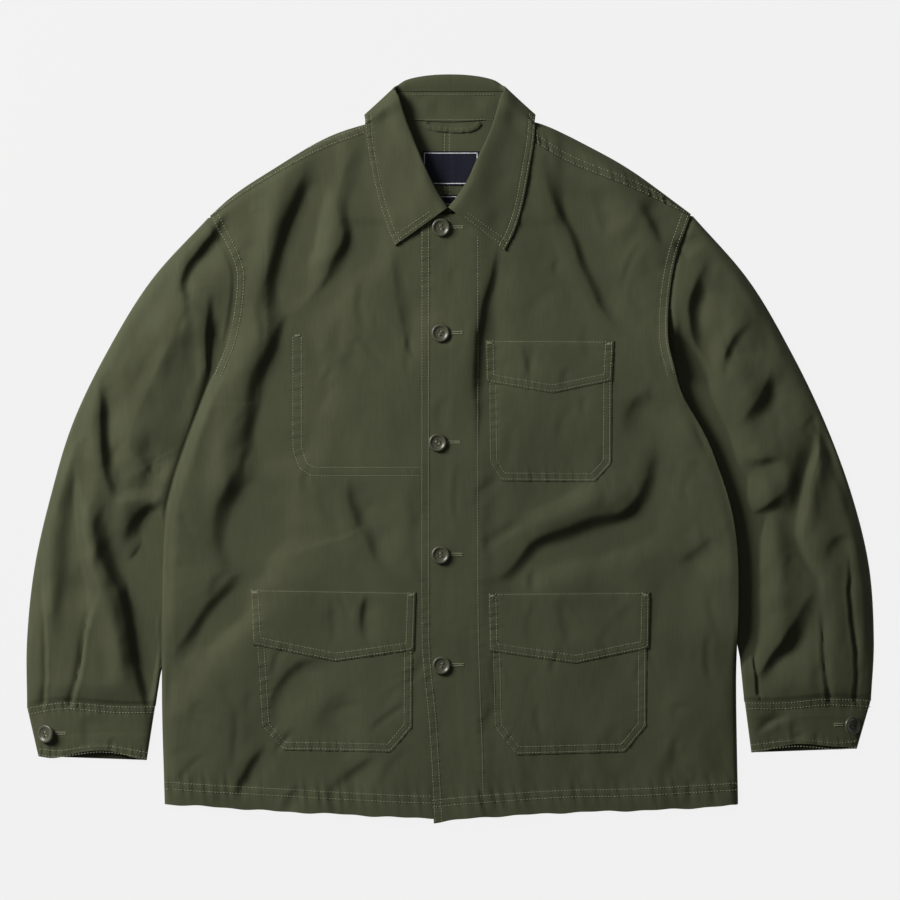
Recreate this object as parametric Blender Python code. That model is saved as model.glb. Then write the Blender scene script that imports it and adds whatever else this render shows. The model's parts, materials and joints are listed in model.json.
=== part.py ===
"""Chore jacket, buttoned and laid flat on its back, face up.

All sizes are millimetres until a mesh is made. +X is the wearer's left, +Y runs to the
collar and +Z points up from the surface the jacket lies on. The origin is the middle of
the flat underside.
"""

import math

import bmesh
import bpy
import numpy as np
from mathutils import Vector

MM = 0.001

# ---------------------------------------------------------------- driving dimensions
CLOTH = 1.5             # one wall of heavy cotton twill
SEAM = 0.3              # gap between two pieces that are sewn edge to edge
LAYER = 0.25            # least air between two layers that lie on each other
OVERLAP_AIR = 1.2       # air between the two fronts, which are both curved
BODY_LOFT = 6.0         # air under the fronts, away from every edge
SLEEVE_LOFT = 13.0      # air inside a sleeve, away from its edges
HEM_LOFT = 0.85         # share of the body's loft that is left at the hem
EDGE_ROUND = 15.0       # how far from a folded edge the loft is reached
FOLD_GAIN = 1.2         # all folds together are this much stronger than their rows
LEAF_RISE = CLOTH + 0.3  # the back lies on the collar leaf near the neck
LEAF_START_Y = 232.0    # the back begins to rise here, over LEAF_RAMP
LEAF_HALF_WIDTH = 122.0  # and is level again this far from the middle
LEAF_RAMP = 14.0
OVERLAP_END_X = 50.0    # the left front is down on the body again here
OVERLAP_RAMP = 24.0
OVERLAP_EDGE_X = -46.0  # the step at the left front's edge, eased over its ramp
OVERLAP_EDGE_RAMP = 14.0
SLEEVE_RAMP = 55.0      # from the armhole to the sleeve's full loft
SLEEVE_OVERHANG = 8.0   # the ramp starts this far on the body's side
SLEEVE_EDGE_SHARE = 0.3  # part of the sleeve's loft that its rounded edge gives
SLEEVE_BROAD = 26.0     # length over which the rest of it is reached
CUFF_TOP_Y = -245.0     # the sleeve flattens from here down, over CUFF_RAMP
CUFF_RAMP = 30.0
CUFF_LOFT_LOSS = 0.45   # share of the sleeve's loft that a cuff lacks
HEM_RAMP_START = -400.0
HEM_RAMP = 70.0
FOLD_EDGE_RAMP = 12.0   # folds fade out this near a folded edge
LEAST_AIR_ROUNDING = 1.5  # square of the height below which two layers close softly
SLEEVE_EDGE = 1.2       # gap in plan between a sleeve and the body it lies beside
PATCH = 1.3             # wall of a patch pocket or a pocket band
PATCH_AIR = 0.35        # gap between a patch and the panel under it
BUTTON_RADIUS = 9.8
BUTTON_HEIGHT = 3.6
BUTTON_HOLE_RADIUS = 1.15
BUTTON_HOLE_SPACING = 2.3
BUTTON_CLEARANCE = 0.45  # thread shank: gap between a button and the highest cloth under it
BUTTON_SLOPE_STEP = 6.0  # the cloth's slope under a button is taken over twice this

# ---------------------------------------------------------------- outlines (x, y)
# Each runs through its points as a smooth curve.
RIGHT = {
    "side": [(-300, -373), (-303, -253), (-301, -98), (-290, -32), (-261, 50), (-249, 79)],
    "armhole": [(-249, 79), (-233, 119), (-225, 171), (-229, 199), (-251.5, 243.5)],
    "shoulder_seam": [(-251.5, 243.5), (-207, 275), (-136, 314), (-67, 339)],
    "shoulder_fold": [(-252.5, 245.5), (-228, 267), (-192, 291), (-127, 329), (-61, 349.5)],
    "neck_front": [(-11, 247), (-28, 262), (-44, 285), (-58, 314), (-67, 339)],
    "sleeve_outer": [(-253, 245), (-314, 178), (-361, 102), (-397, 27), (-420, -49),
                     (-437, -124), (-445, -200), (-445, -271)],
    "sleeve_inner": [(-249, 79), (-261, 50), (-290, -32), (-301, -98), (-303, -211), (-310, -269)],
    "cuff": {"seam": [(-445, -271), (-405, -265), (-350, -269), (-310, -269)],
             "hem": [(-433, -323), (-411, -325), (-365, -320), (-319, -327)]},
}
LEFT = {
    "side": [(303, -374), (301, -253), (301, -98), (276, -4), (245, 55), (237, 79)],
    "armhole": [(237, 79), (229, 115), (230, 157), (237, 200), (252.5, 245.5)],
    "shoulder_seam": [(252.5, 245.5), (189, 275), (123, 302), (70, 335)],
    "shoulder_fold": [(253.5, 247.5), (194, 291), (149, 317), (99, 341), (61, 349.5)],
    "neck_front": [(5, 247), (25, 259), (46, 283), (61, 312), (70, 335)],
    "sleeve_outer": [(254, 247), (314, 178), (359, 102), (395, 27), (423, -49),
                     (441, -124), (446, -200), (443, -263)],
    "sleeve_inner": [(237, 79), (245, 55), (276, -4), (301.5, -98), (303.5, -190), (310, -265)],
    "cuff": {"seam": [(443, -263), (396, -261), (350, -265), (310, -265)],
             "hem": [(428, -315), (405, -317), (365, -314), (317, -319)]},
}
FRONT_EDGE = [(-17, -392), (-23, -290), (-29, -230), (-31, -180), (-31, 0), (-31, 245)]
UNDER_FRONT_EDGE = [(13, -388), (13, -200), (13, 0), (13, 243)]
HEM_RIGHT = [(-300, -373), (-204, -379), (-74, -386), (13, -388)]
HEM_LEFT = [(-17, -392), (24, -388), (116, -382), (200, -380), (303, -374)]
BACK_HEM_Y = -383.0
BACK_NECK = {"half_width": 61.0, "centre_y": 343.5, "rise": 6.0}

# ---------------------------------------------------------------- folds
# name, start, end, bow to the right of that line, half width, height (a trough is negative)
FOLDS = [
    ("shoulder drag, right", (-140, 307), (-186, 150), -9, 13, -5.0),
    ("neck drag, right", (-102, 293), (-150, 101), -7, 12, -4.0),
    ("swell between the drags", (-128, 270), (-172, 190), -5, 12, 2.5),
    ("chest hollow, right", (-168, 133), (-217, -11), 6, 20, -4.0),
    ("side hollow, right", (-222, -40), (-190, -140), 0, 28, -4.0),
    ("hip drag, right", (-210, -137), (-292, -250), 5, 13, -3.5),
    ("belly drag, right", (-97, -32), (-49, -137), 5, 11, -2.5),
    ("placket drag, right", (-56, 206), (-36, 136), -5, 9, -2.0),
    ("hem ripple, right", (-203, -329), (-226, -368), 0, 12, -2.5),
    ("hem ripple, middle", (-77, -333), (-121, -356), 0, 12, -1.5),
    ("pocket slump, right", (-108, -228), (-175, -308), 12, 13, -2.0),
    ("side swell, right", (-238, 60), (-285, -180), -6, 15, 3.0),
    ("hip swell, right", (-150, -150), (-250, -300), 0, 26, 2.5),
    ("long drag, left", (100, 314), (191, 129), -8, 13, -5.0),
    ("long swell, left", (140, 330), (226, 190), -8, 17, 3.5),
    ("placket drag, left", (55, 202), (34, 38), 5, 10, -2.5),
    ("shoulder dimple, left", (207, 255), (226, 226), 0, 9, -2.0),
    ("chest drag, left", (228, 38), (207, 3), 0, 12, -3.0),
    ("waist fold, upper", (228, -22), (192, -85), -5, 12, -4.5),
    ("waist fold, middle", (192, -85), (95, -107), -4, 12, -5.0),
    ("waist fold, lower", (95, -107), (39, -148), 4, 13, -4.5),
    ("waist swell", (215, -105), (90, -135), 0, 15, 3.5),
    ("waist swell, upper", (195, -50), (90, -78), 0, 16, 2.5),
    ("side dimple, left", (276, -106), (243, -124), 0, 10, -2.5),
    ("sleeve hook, right", (-236, 246), (-272, 172), 4, 11, -5.0),
    ("armhole crease, right", (-250, 160), (-258, 56), -3, 10, -5.5),
    ("sleeve head swell, right", (-276, 205), (-300, 110), 0, 18, 3.0),
    ("elbow drag, right", (-360, 76), (-352, -39), -3, 14, -4.0),
    ("forearm fold, right", (-368, -56), (-343, -150), -4, 13, -7.0),
    ("forearm fold to cuff, right", (-343, -150), (-314, -262), 3, 13, -7.0),
    ("forearm swell, right", (-392, -70), (-366, -240), -3, 13, 4.5),
    ("outer drag, right", (-399, -14), (-392, -190), 4, 11, -4.0),
    ("inner elbow, right", (-322, 0), (-299, -35), 0, 10, -4.0),
    ("inner elbow, lower", (-309, -58), (-333, -72), 0, 9, -3.5),
    ("inner forearm, right", (-307, -102), (-336, -123), 0, 10, -3.5),
    ("pleat, right", (-376, -165), (-399, -262), 0, 8, -4.5),
    ("outer pleat, right", (-428, -165), (-424, -262), 0, 8, -3.0),
    ("armhole crease, left", (243, 146), (254, 70), 3, 11, -6.0),
    ("inner sleeve crease, left", (258, 60), (296, -26), 3, 11, -7.0),
    ("inner sleeve hollow, left", (302, -39), (309, -200), 0, 12, -6.0),
    ("sleeve head dimple, left", (284, 181), (270, 146), 0, 11, -3.5),
    ("sleeve head swell, left", (300, 200), (312, 100), 0, 18, 3.0),
    ("upper arm drag, left", (339, 66), (322, 31), 0, 12, -4.0),
    ("forearm fold, left", (381, 31), (360, -98), -4, 14, -7.0),
    ("forearm fold to pleat, left", (360, -98), (385, -151), 3, 12, -6.5),
    ("forearm branch, left", (366, -185), (327, -250), 0, 12, -6.0),
    ("forearm swell, left", (335, -60), (345, -170), 0, 15, 4.0),
    ("elbow dimple, left", (399, -109), (418, -102), 0, 9, -2.5),
    ("pleat, left", (386, -175), (396, -256), 0, 8, -4.5),
    ("inner pleat, left", (318, -190), (325, -256), 0, 8, -3.5),
    ("outer pleat, left", (420, -150), (425, -256), 0, 8, -3.0),
]

# ---------------------------------------------------------------- collar
# One row for each station of the right half, from its front end to the middle of the back:
# where the stand is sewn to the neck, where the collar rolls over, and the leaf's outer edge.
# Level is 1 on top of the fronts, 0 under the back, between them round the side of the neck.
COLLAR = [
    # neck_x, neck_y, roll_x, roll_y, edge_x, edge_y, level
    (-9.5, 251.0, -3.5, 253.0, -58.0, 214.0, 1.0),
    (-18.5, 257.0, -10.5, 264.5, -66.0, 232.0, 1.0),
    (-36.0, 277.5, -20.5, 283.0, -75.0, 260.0, 1.0),
    (-50.5, 302.5, -31.5, 309.0, -83.0, 294.0, 1.0),
    (-59.0, 324.0, -42.5, 334.0, -87.5, 320.0, 1.0),
    (-63.0, 336.0, -49.0, 354.0, -89.0, 336.0, 1.0),
    (-60.5, 345.0, -53.5, 369.0, -89.0, 344.5, 0.97),
    (-58.5, 352.8, -58.0, 379.0, -89.0, 351.5, 0.5),
    (-57.0, 351.6, -54.0, 382.5, -82.5, 350.0, 0.03),
    (-48.0, 348.4, -46.0, 387.5, -67.0, 345.0, 0.0),
    (-34.0, 346.4, -32.5, 391.0, -46.0, 341.0, 0.0),
    (-17.0, 345.0, -16.0, 393.0, -23.0, 338.5, 0.0),
    (0.0, 344.6, 0.0, 393.5, 0.0, 337.5, 0.0),
]
LEFT_COLLAR_SHIFTS = {0: (-4.0, -1.0, -5.0), 1: (-1.5, 1.0, -4.0), 2: (0.0, 1.0, -3.0)}
STAND_TOP_Y = 376.0     # seam between the stand and the leaf at the back
# Leaf section on the fronts: distance from the roll in mm or, past 1, as a share; height
LEAF_NEAR_ROLL = [(6.0, 1.2), (1.2, 1.9), (0.0, 3.2), (1.6, 4.8), (8.0, 5.4)]
LEAF_OUTWARD = [(0.45, 3.4), (0.75, 2.2), (1.0, 1.7)]
# Leaf section at the back: share of the way from the roll to the stand, height; then below
LEAF_BACK_ROLL = [(0.55, 3.6), (0.22, 3.5), (0.0, 2.1)]
LEAF_UNDER_ROLL = (4.0, 0.8)

# ---------------------------------------------------------------- patches and buttons
# (x, y) corners, counter-clockwise, on the panel named
PATCHES = {
    "chest_pocket": ("front_left", [(40, 112), (41, -13), (53, -33), (152, -34), (169.5, -15),
                                    (170, 112)]),
    "hip_pocket_left": ("front_left", [(43, -153), (46, -292), (69, -321), (184, -318), (206, -291),
                                       (207, -153)]),
    "hip_pocket_right": ("front_right", [(-207, -150), (-198, -292), (-176, -316), (-62, -318),
                                         (-40, -292), (-39, -152)]),
}
BANDS = {
    "chest_pocket_band": ("front_left", [(37, 115), (38, 71), (108, 59), (170, 72), (172, 114)]),
    "hip_pocket_left_band": ("front_left", [(40, -151), (41.5, -212), (132, -225), (209, -209),
                                            (210, -150)]),
    "hip_pocket_right_band": ("front_right", [(-210, -147), (-207, -205), (-121, -223), (-38, -211),
                                              (-36, -150)]),
}
FRONT_BUTTONS = [(-9.5, 233.0), (-10.0, 122.0), (-13.0, 7.0), (-10.0, -111.0), (-9.0, -227.0)]
CUFF_BUTTONS = {"button_cuff_right": (-424.0, -299.0), "button_cuff_left": (422.0, -290.0)}
LABELS = {"main_label": (-29.0, 277.5, 30.5, 313.5), "size_label": (-12.5, 256.0, 14.5, 267.5)}
LABEL_THICKNESS = 0.8
HANGER = {"left": -26.0, "right": 29.5, "top_y": 342.0, "sag": 4.5, "width": 6.0, "thickness": 1.4}

COLOURS = {
    "cloth": (0.066, 0.074, 0.041),
    "button": (0.115, 0.110, 0.066),
    "label": (0.006, 0.008, 0.016),
}
ROUGHNESS = {"cloth": 0.9, "button": 0.4, "label": 0.7}


# ---------------------------------------------------------------- curves and fields
def smooth_line(points, count):
    """count points, evenly spaced along a Catmull-Rom curve through the given ones."""
    knots = np.array(points, float)
    ends = np.vstack([2 * knots[0] - knots[1], knots, 2 * knots[-1] - knots[-2]])
    steps = np.linspace(0, 1, 24, endpoint=False)[:, None]
    pieces = []
    for i in range(len(knots) - 1):
        a, b, c, d = ends[i:i + 4]
        pieces.append(0.5 * (2 * b + (c - a) * steps + (2 * a - 5 * b + 4 * c - d) * steps**2
                             + (3 * b - a - 3 * c + d) * steps**3))
    dense = np.vstack(pieces + [knots[-1:]])
    return resample(dense, np.linspace(0, 1, count))


def resample(line, shares):
    """Points of a polyline at the given shares of its length."""
    length = np.concatenate([[0], np.cumsum(np.linalg.norm(np.diff(line, axis=0), axis=1))])
    wanted = np.asarray(shares) * length[-1]
    return np.stack([np.interp(wanted, length, line[:, k]) for k in range(line.shape[1])], axis=1)


def distance_to(line, x, y):
    """Distance in plan from each point to a polyline."""
    best = np.full(np.shape(x), 1e9)
    for (ax, ay), (bx, by) in zip(line[:-1], line[1:]):
        dx, dy = bx - ax, by - ay
        share = np.clip(((x - ax) * dx + (y - ay) * dy) / (dx * dx + dy * dy), 0, 1)
        best = np.minimum(best, np.hypot(x - ax - share * dx, y - ay - share * dy))
    return best


def ease(value):
    """0 below 0, 1 above 1 and smooth between."""
    v = np.clip(value, 0, 1)
    return v * v * (3 - 2 * v)


def fold_sum(x, y):
    """Height that all the folds add at each point."""
    total = np.zeros(np.shape(x))
    for _, (ax, ay), (bx, by), bow, width, height in FOLDS:
        dx, dy = bx - ax, by - ay
        length = math.hypot(dx, dy)
        along = ((x - ax) * dx + (y - ay) * dy) / length**2
        share = np.clip(along, 0, 1)
        aside = ((x - ax) * dy - (y - ay) * dx) / length - bow * 4 * share * (1 - share)
        past = (along - share) * length
        total += FOLD_GAIN * height * np.exp(-(aside**2 + past**2) / width**2)
    return total


FOLDED_EDGES = [smooth_line(side[key], 40) for side in (RIGHT, LEFT)
                for key in ("side", "shoulder_fold", "sleeve_outer")]
FOLDED_EDGES += [np.array([side["cuff"]["seam"][end], side["cuff"]["hem"][end]], float)
                 for side in (RIGHT, LEFT) for end in (0, -1)]
FOLDED_EDGES += [smooth_line(side["sleeve_inner"], 40) for side in (RIGHT, LEFT)]
SLEEVE_STARTS = [smooth_line(side["side"] + side["armhole"][1:], 60) for side in (RIGHT, LEFT)]


def sleeve_share(x, y):
    """0 on the body, 1 well inside a sleeve."""
    share = np.zeros(np.shape(x))
    for line in SLEEVE_STARTS:
        start = np.interp(y, line[:, 1], np.abs(line[:, 0]))
        same_side = np.sign(line[0, 0]) * x > 0
        past = np.abs(x) - start + SLEEVE_OVERHANG
        share = np.where(same_side, ease(past / SLEEVE_RAMP), share)
    return share


def air(x, y):
    """Air between the lower and the upper layer."""
    x, y = np.asarray(x, float), np.asarray(y, float)
    edge = np.minimum.reduce([distance_to(line, x, y) for line in FOLDED_EDGES])
    rounding = np.sqrt(1 - (1 - np.clip(edge / EDGE_ROUND, 0, 1))**2)
    sleeve = sleeve_share(x, y)
    broad = 1 - np.exp(-edge / SLEEVE_BROAD)
    cuff = ease((CUFF_TOP_Y - y) / CUFF_RAMP) * sleeve
    sleeve_loft = SLEEVE_LOFT * (1 - CUFF_LOFT_LOSS * cuff)
    crown = SLEEVE_EDGE_SHARE * rounding + (1 - SLEEVE_EDGE_SHARE) * broad
    loft = BODY_LOFT * rounding * (1 - sleeve) + sleeve_loft * crown * sleeve
    hem = HEM_LOFT + (1 - HEM_LOFT) * ease((y - HEM_RAMP_START) / HEM_RAMP)
    folds = fold_sum(x, y) * ease(edge / FOLD_EDGE_RAMP)
    height = loft * np.where(sleeve > 0.5, 1, hem) + folds
    return LAYER + 0.5 * (height + np.sqrt(height**2 + LEAST_AIR_ROUNDING))


def overlap_rise(x):
    """How far the left front is lifted where it laps over the right one."""
    return (CLOTH + OVERLAP_AIR) * ease((OVERLAP_END_X - np.asarray(x, float)) / OVERLAP_RAMP)


def leaf_rise(x, y):
    """How far the back is lifted where it lies on the collar leaf."""
    rise = ease((y - LEAF_START_Y) / LEAF_RAMP)
    return LEAF_RISE * rise * ease((LEAF_HALF_WIDTH - np.abs(x)) / LEAF_RAMP)


def lower_air(x, y):
    """Underside of the upper layer."""
    return CLOTH + air(x, y) + leaf_rise(np.asarray(x, float), np.asarray(y, float))


def top_of_fronts(x, y):
    """Upper side of whichever front lies on top, eased over the left one's edge."""
    edge = ease((np.asarray(x, float) - OVERLAP_EDGE_X) / OVERLAP_EDGE_RAMP)
    step = overlap_rise(x) * edge
    return lower_air(x, y) + CLOTH + step


# ---------------------------------------------------------------- meshes
def material(kind):
    made = bpy.data.materials.new(kind)
    made.use_nodes = True
    shader = made.node_tree.nodes["Principled BSDF"]
    shader.inputs["Base Color"].default_value = (*COLOURS[kind], 1)
    shader.inputs["Roughness"].default_value = ROUGHNESS[kind]
    shader.inputs["Metallic"].default_value = 0.0
    return made


def add_object(name, mesh, kind):
    mesh.materials.append(material(kind))
    piece = bpy.data.objects.new(name, mesh)
    bpy.context.scene.collection.objects.link(piece)
    mesh.shade_smooth()
    mesh.set_sharp_from_angle(angle=math.radians(50))
    return piece


def mesh_of(name, points, triangles):
    mesh = bpy.data.meshes.new(name)
    mesh.from_pydata([tuple(p) for p in np.asarray(points) * MM], [], triangles)
    return mesh


def cell_triangles(rows, columns, keep, ring):
    """Two triangles for each kept cell of a grid of points, stored row by row."""
    faces = []
    for j in range(rows - 1):
        for i in range(columns if ring else columns - 1):
            if keep is not None and not keep[j, i]:
                continue
            nxt = (i + 1) % columns
            a, b = j * columns + i, j * columns + nxt
            c, d = b + columns, a + columns
            faces += [(a, b, c), (a, c, d)] if (i + j) % 2 else [(a, b, d), (b, c, d)]
    return faces


def closed_wall(name, outer, inner, faces, kind):
    """Closed body between two sets of points that share the triangles of the outer one."""
    used = sorted({v for face in faces for v in face})
    place = {v: k for k, v in enumerate(used)}
    count = len(used)
    front = [tuple(place[v] for v in face) for face in faces]
    sides = {(face[k], face[(k + 1) % 3]) for face in front for k in range(3)}
    border = [(b, a) for a, b in sorted(sides) if (b, a) not in sides]
    back = [(c + count, b + count, a + count) for a, b, c in front]
    rim = [(a, b, b + count) for a, b in border] + [(a, b + count, a + count) for a, b in border]
    points = np.vstack([outer[used], inner[used]])
    return add_object(name, mesh_of(name, points, front + back + rim), kind)


def shell(name, outer, inner, kind="cloth", keep=None, ring=False):
    """Wall between two grids of the same size. Seen with rows going up and columns going
    right, the outer grid faces the viewer. A ring's columns close on themselves."""
    faces = cell_triangles(*outer.shape[:2], keep, ring)
    return closed_wall(name, outer.reshape(-1, 3), inner.reshape(-1, 3), faces, kind)


def plan_of(bottom, top, left, right, u, v):
    """Plan of a four-sided panel between its border lines, at shares u across and v along."""
    u, v = u[None, :, None], v[:, None, None]
    across = (1 - v) * bottom[None] + v * top[None]
    along = (1 - u) * left[:, None] + u * right[:, None]
    corners = ((1 - u) * (1 - v) * bottom[0] + u * (1 - v) * bottom[-1]
               + (1 - u) * v * top[0] + u * v * top[-1])
    return across + along - corners


def raised(plan, height):
    return np.dstack([plan, np.broadcast_to(height, plan.shape[:2])])


def shares_of(steps):
    """Shares from 0 to 1 for the given relative steps."""
    total = np.concatenate([[0], np.cumsum(steps)])
    return total / total[-1]


def joined(*lines):
    """Lines run together, each one's first point dropped where the last one ends there."""
    return np.vstack([lines[0]] + [line[1:] for line in lines[1:]])


# ---------------------------------------------------------------- shared stations
# Every side piece is laid out as the right one, with x negative, and the left one is turned
# over at the end, so that pieces that meet share the same stations.
SLEEVE_ACROSS = shares_of([2.2, 8, 13, 14, 14, 14, 14, 14, 13, 8, 2.2])
SHOULDER_ACROSS = shares_of([3, 8, 13, 14, 14, 14, 14, 13, 12])   # from the armhole to the neck
NECK_ACROSS = shares_of([12] * 5)
SHOULDER_PART = 0.62     # share of a panel's width that its shoulder takes
PANEL_ACROSS = np.concatenate([SHOULDER_ACROSS * SHOULDER_PART,
                               SHOULDER_PART + NECK_ACROSS[1:] * (1 - SHOULDER_PART)])
SIDE_ROWS = shares_of([1] * 20)
BACK_SIDE_ROWS = shares_of([1] * 10)
BACK_ARMHOLE = [0, 2, 4, 6, 7, 8, 9, 11]       # the sleeve's stations that the flat back uses


def drafted(points, left):
    """A line of the table, turned over when it belongs to the left side."""
    flip = -1.0 if left else 1.0
    return [(flip * x, y) for x, y in points]


def laid(plan, left):
    """A drafted plan put back on its own side."""
    if not left:
        return plan
    turned = plan[:, ::-1].copy()
    turned[..., 0] *= -1
    return turned


def draft_lines(left):
    side = LEFT if left else RIGHT
    lines = {key: smooth_line(drafted(side[key], left), 120) for key in side if key != "cuff"}
    lines["cuff_seam"] = smooth_line(drafted(side["cuff"]["seam"], left), 40)
    lines["cuff_hem"] = smooth_line(drafted(side["cuff"]["hem"], left), 40)
    return lines


def panel_border(lines, side_rows, armhole_shares, gap):
    """Hem to underarm, then round the armhole, set back from the seam by a gap."""
    armhole = resample(lines["armhole"], armhole_shares)
    run = np.gradient(armhole, axis=0)
    run /= np.linalg.norm(run, axis=1, keepdims=True)
    armhole += np.stack([run[:, 1], -run[:, 0]], axis=1) * gap
    return np.vstack([resample(lines["side"], side_rows)[:-1], armhole])


def height_shares(border):
    """Share of the border's length at each row."""
    length = np.concatenate([[0], np.cumsum(np.linalg.norm(np.diff(border, axis=0), axis=1))])
    return length / length[-1]


# ---------------------------------------------------------------- fronts
PANELS = {}


def build_front(name, left, hem, edge):
    lines = draft_lines(left)
    border = panel_border(lines, SIDE_ROWS, SLEEVE_ACROSS, SEAM / 2)
    levels = height_shares(border)
    front_edge = resample(smooth_line(drafted(edge, left), 90), levels)
    seam = resample(lines["shoulder_seam"], SHOULDER_ACROSS) + np.array([0.08, -0.15])
    corner = front_edge[-1]
    neck = resample(np.vstack([lines["neck_front"][::-1], corner[None]]), NECK_ACROSS)
    top = joined(seam, neck)
    bottom = resample(smooth_line(drafted(hem, left), 60), PANEL_ACROSS)
    border[0], border[-1] = bottom[0], top[0]
    front_edge[0] = bottom[-1]
    plan = laid(plan_of(bottom, top, border, front_edge, PANEL_ACROSS, levels), left)
    low = lower_air(plan[..., 0], plan[..., 1])
    if left:
        low = low + overlap_rise(plan[..., 0])
    PANELS[name] = raised(plan, low + CLOTH)
    shell(name, PANELS[name], raised(plan, low))


def build_fronts():
    build_front("front_right", False, HEM_RIGHT, UNDER_FRONT_EDGE)
    build_front("front_left", True, HEM_LEFT[::-1], FRONT_EDGE)


# ---------------------------------------------------------------- back
FLAP_SHARES = [0.0, 0.22, 0.6, 1.0]      # from the shoulder fold to the seam in front of it
FOLD_INSET = 2.4
FOLD_INWARD = (0.45, -0.9)   # direction in plan from the shoulder fold into the back
BACK_SET_IN = 0.8        # the flat back ends this far inside the front's side edge
BACK_ARMHOLE_GAP = 0.9   # and this far inside the armhole


def build_back(name, left):
    """Half of the back, flat on the surface, then round the shoulder fold to the seam."""
    lines = draft_lines(left)
    border = panel_border(lines, BACK_SIDE_ROWS, SLEEVE_ACROSS[BACK_ARMHOLE], BACK_ARMHOLE_GAP)
    border[:, 0] += BACK_SET_IN
    levels = height_shares(border)
    half_gap = -SEAM / 2
    centre = np.stack([np.full(len(levels), half_gap),
                       BACK_HEM_Y + levels * (BACK_NECK["centre_y"] - BACK_HEM_Y)], axis=1)
    fold = resample(lines["shoulder_fold"], SHOULDER_ACROSS)
    neck_x = np.linspace(-BACK_NECK["half_width"], half_gap, len(NECK_ACROSS))
    neck_y = BACK_NECK["centre_y"] + BACK_NECK["rise"] * (neck_x / BACK_NECK["half_width"])**2
    inner_fold = fold + np.array(FOLD_INWARD) * FOLD_INSET
    inner_fold[0] = border[-1]
    top = joined(inner_fold, np.stack([neck_x, neck_y], axis=1))
    hem_x = border[0, 0] + (half_gap - border[0, 0]) * PANEL_ACROSS
    bottom = np.stack([hem_x, border[0, 1] + (BACK_HEM_Y - border[0, 1]) * PANEL_ACROSS], axis=1)
    flat = plan_of(bottom, top, border, centre, PANEL_ACROSS, levels)
    seam = resample(lines["shoulder_seam"], SHOULDER_ACROSS) + np.array([-0.08, 0.15])
    filler = np.repeat(top[None, len(fold):], len(FLAP_SHARES), axis=0)
    flap = np.stack([fold + (seam - fold) * share for share in FLAP_SHARES])
    plan = laid(np.vstack([flat, np.concatenate([flap, filler], axis=1)]), left)
    rows = len(flat)
    x, y = plan[..., 0], plan[..., 1]
    outside, inside = leaf_rise(x, y), leaf_rise(x, y) + CLOTH
    over = lower_air(x, y)
    outside[rows + 1:], inside[rows + 1:] = over[rows + 1:] + CLOTH, over[rows + 1:]
    apex = (leaf_rise(x, y) + over + CLOTH)[rows] / 2
    outside[rows] = inside[rows] = apex
    inner = plan.copy()
    inward_x, inward_y = FOLD_INWARD
    inner[rows] += np.array([-inward_x if left else inward_x, inward_y]) * CLOTH
    keep = np.ones((plan.shape[0] - 1, plan.shape[1] - 1), bool)
    shoulder_cells = len(SHOULDER_ACROSS) - 1
    if left:
        keep[rows - 1:, :-shoulder_cells] = False
    else:
        keep[rows - 1:, shoulder_cells:] = False
    keep = keep[:, ::-1]
    shell(name, raised(plan, outside)[:, ::-1], raised(inner, inside)[:, ::-1], keep=keep)


# ---------------------------------------------------------------- sleeves and cuffs
SLEEVE_ROWS = shares_of([5, 9] + [26] * 17 + [18, 12])    # from the armhole to the cuff
CUFF_ROWS = [0, 0.12, 0.5, 0.88, 1]


def ring_of(plan, left):
    """Rings round a flat tube: over the top from the inner edge to the outer one and back
    along the underside. Returns the outer and inner faces of the wall."""
    low, high = plan[:, 0], plan[:, -1]
    across = high - low
    across /= np.linalg.norm(across, axis=1, keepdims=True)
    body = plan[:, 1:-1]
    outer_plan = np.concatenate([body, high[:, None], body[:, ::-1], low[:, None]], axis=1)
    inner_plan = np.concatenate([body, (high - across * CLOTH)[:, None], body[:, ::-1],
                                 (low + across * CLOTH)[:, None]], axis=1)
    columns = body.shape[1]
    flip = -1.0 if left else 1.0
    grids = []
    for ring_plan, outside in ((outer_plan, True), (inner_plan, False)):
        x, y = ring_plan[..., 0] * flip, ring_plan[..., 1]
        under = lower_air(x, y)
        z = np.zeros_like(x)
        z[:, :columns] = under[:, :columns] + (CLOTH if outside else 0)
        z[:, columns + 1:-1] = 0 if outside else CLOTH
        for edge in (columns, -1):
            z[:, edge] = (lower_air(outer_plan[:, edge, 0] * flip, outer_plan[:, edge, 1]) + CLOTH) / 2
        grids.append(np.dstack([x, y, z]))
    outer, inner = grids
    if left:
        outer, inner = outer[:, ::-1], inner[:, ::-1]
    return outer, inner


def build_sleeve(name, left):
    lines = draft_lines(left)
    start = panel_border(lines, SIDE_ROWS, SLEEVE_ACROSS, -SEAM / 2)[len(SIDE_ROWS) - 1:]
    end = resample(lines["cuff_seam"], SLEEVE_ACROSS)[::-1] + np.array([0, SEAM])
    inner_edge = resample(lines["sleeve_inner"], SLEEVE_ROWS) + np.array([-SLEEVE_EDGE, -0.3])
    outer_edge = resample(lines["sleeve_outer"], SLEEVE_ROWS)
    inner_edge[-1], outer_edge[-1] = end[0], end[-1]
    outer_edge[0], inner_edge[0] = start[-1], start[0] + np.array([-0.5, -0.4])
    plan = plan_of(start, end, inner_edge, outer_edge, SLEEVE_ACROSS, SLEEVE_ROWS)
    shell(name, *ring_of(plan, left), ring=True)


def build_cuff(name, left):
    lines = draft_lines(left)
    start = resample(lines["cuff_seam"], SLEEVE_ACROSS)[::-1]
    end = resample(lines["cuff_hem"], SLEEVE_ACROSS)[::-1]
    shares = np.array(CUFF_ROWS)[:, None, None]
    plan = start[None] * (1 - shares) + end[None] * shares
    shell(name, *ring_of(plan, left), ring=True)


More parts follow.
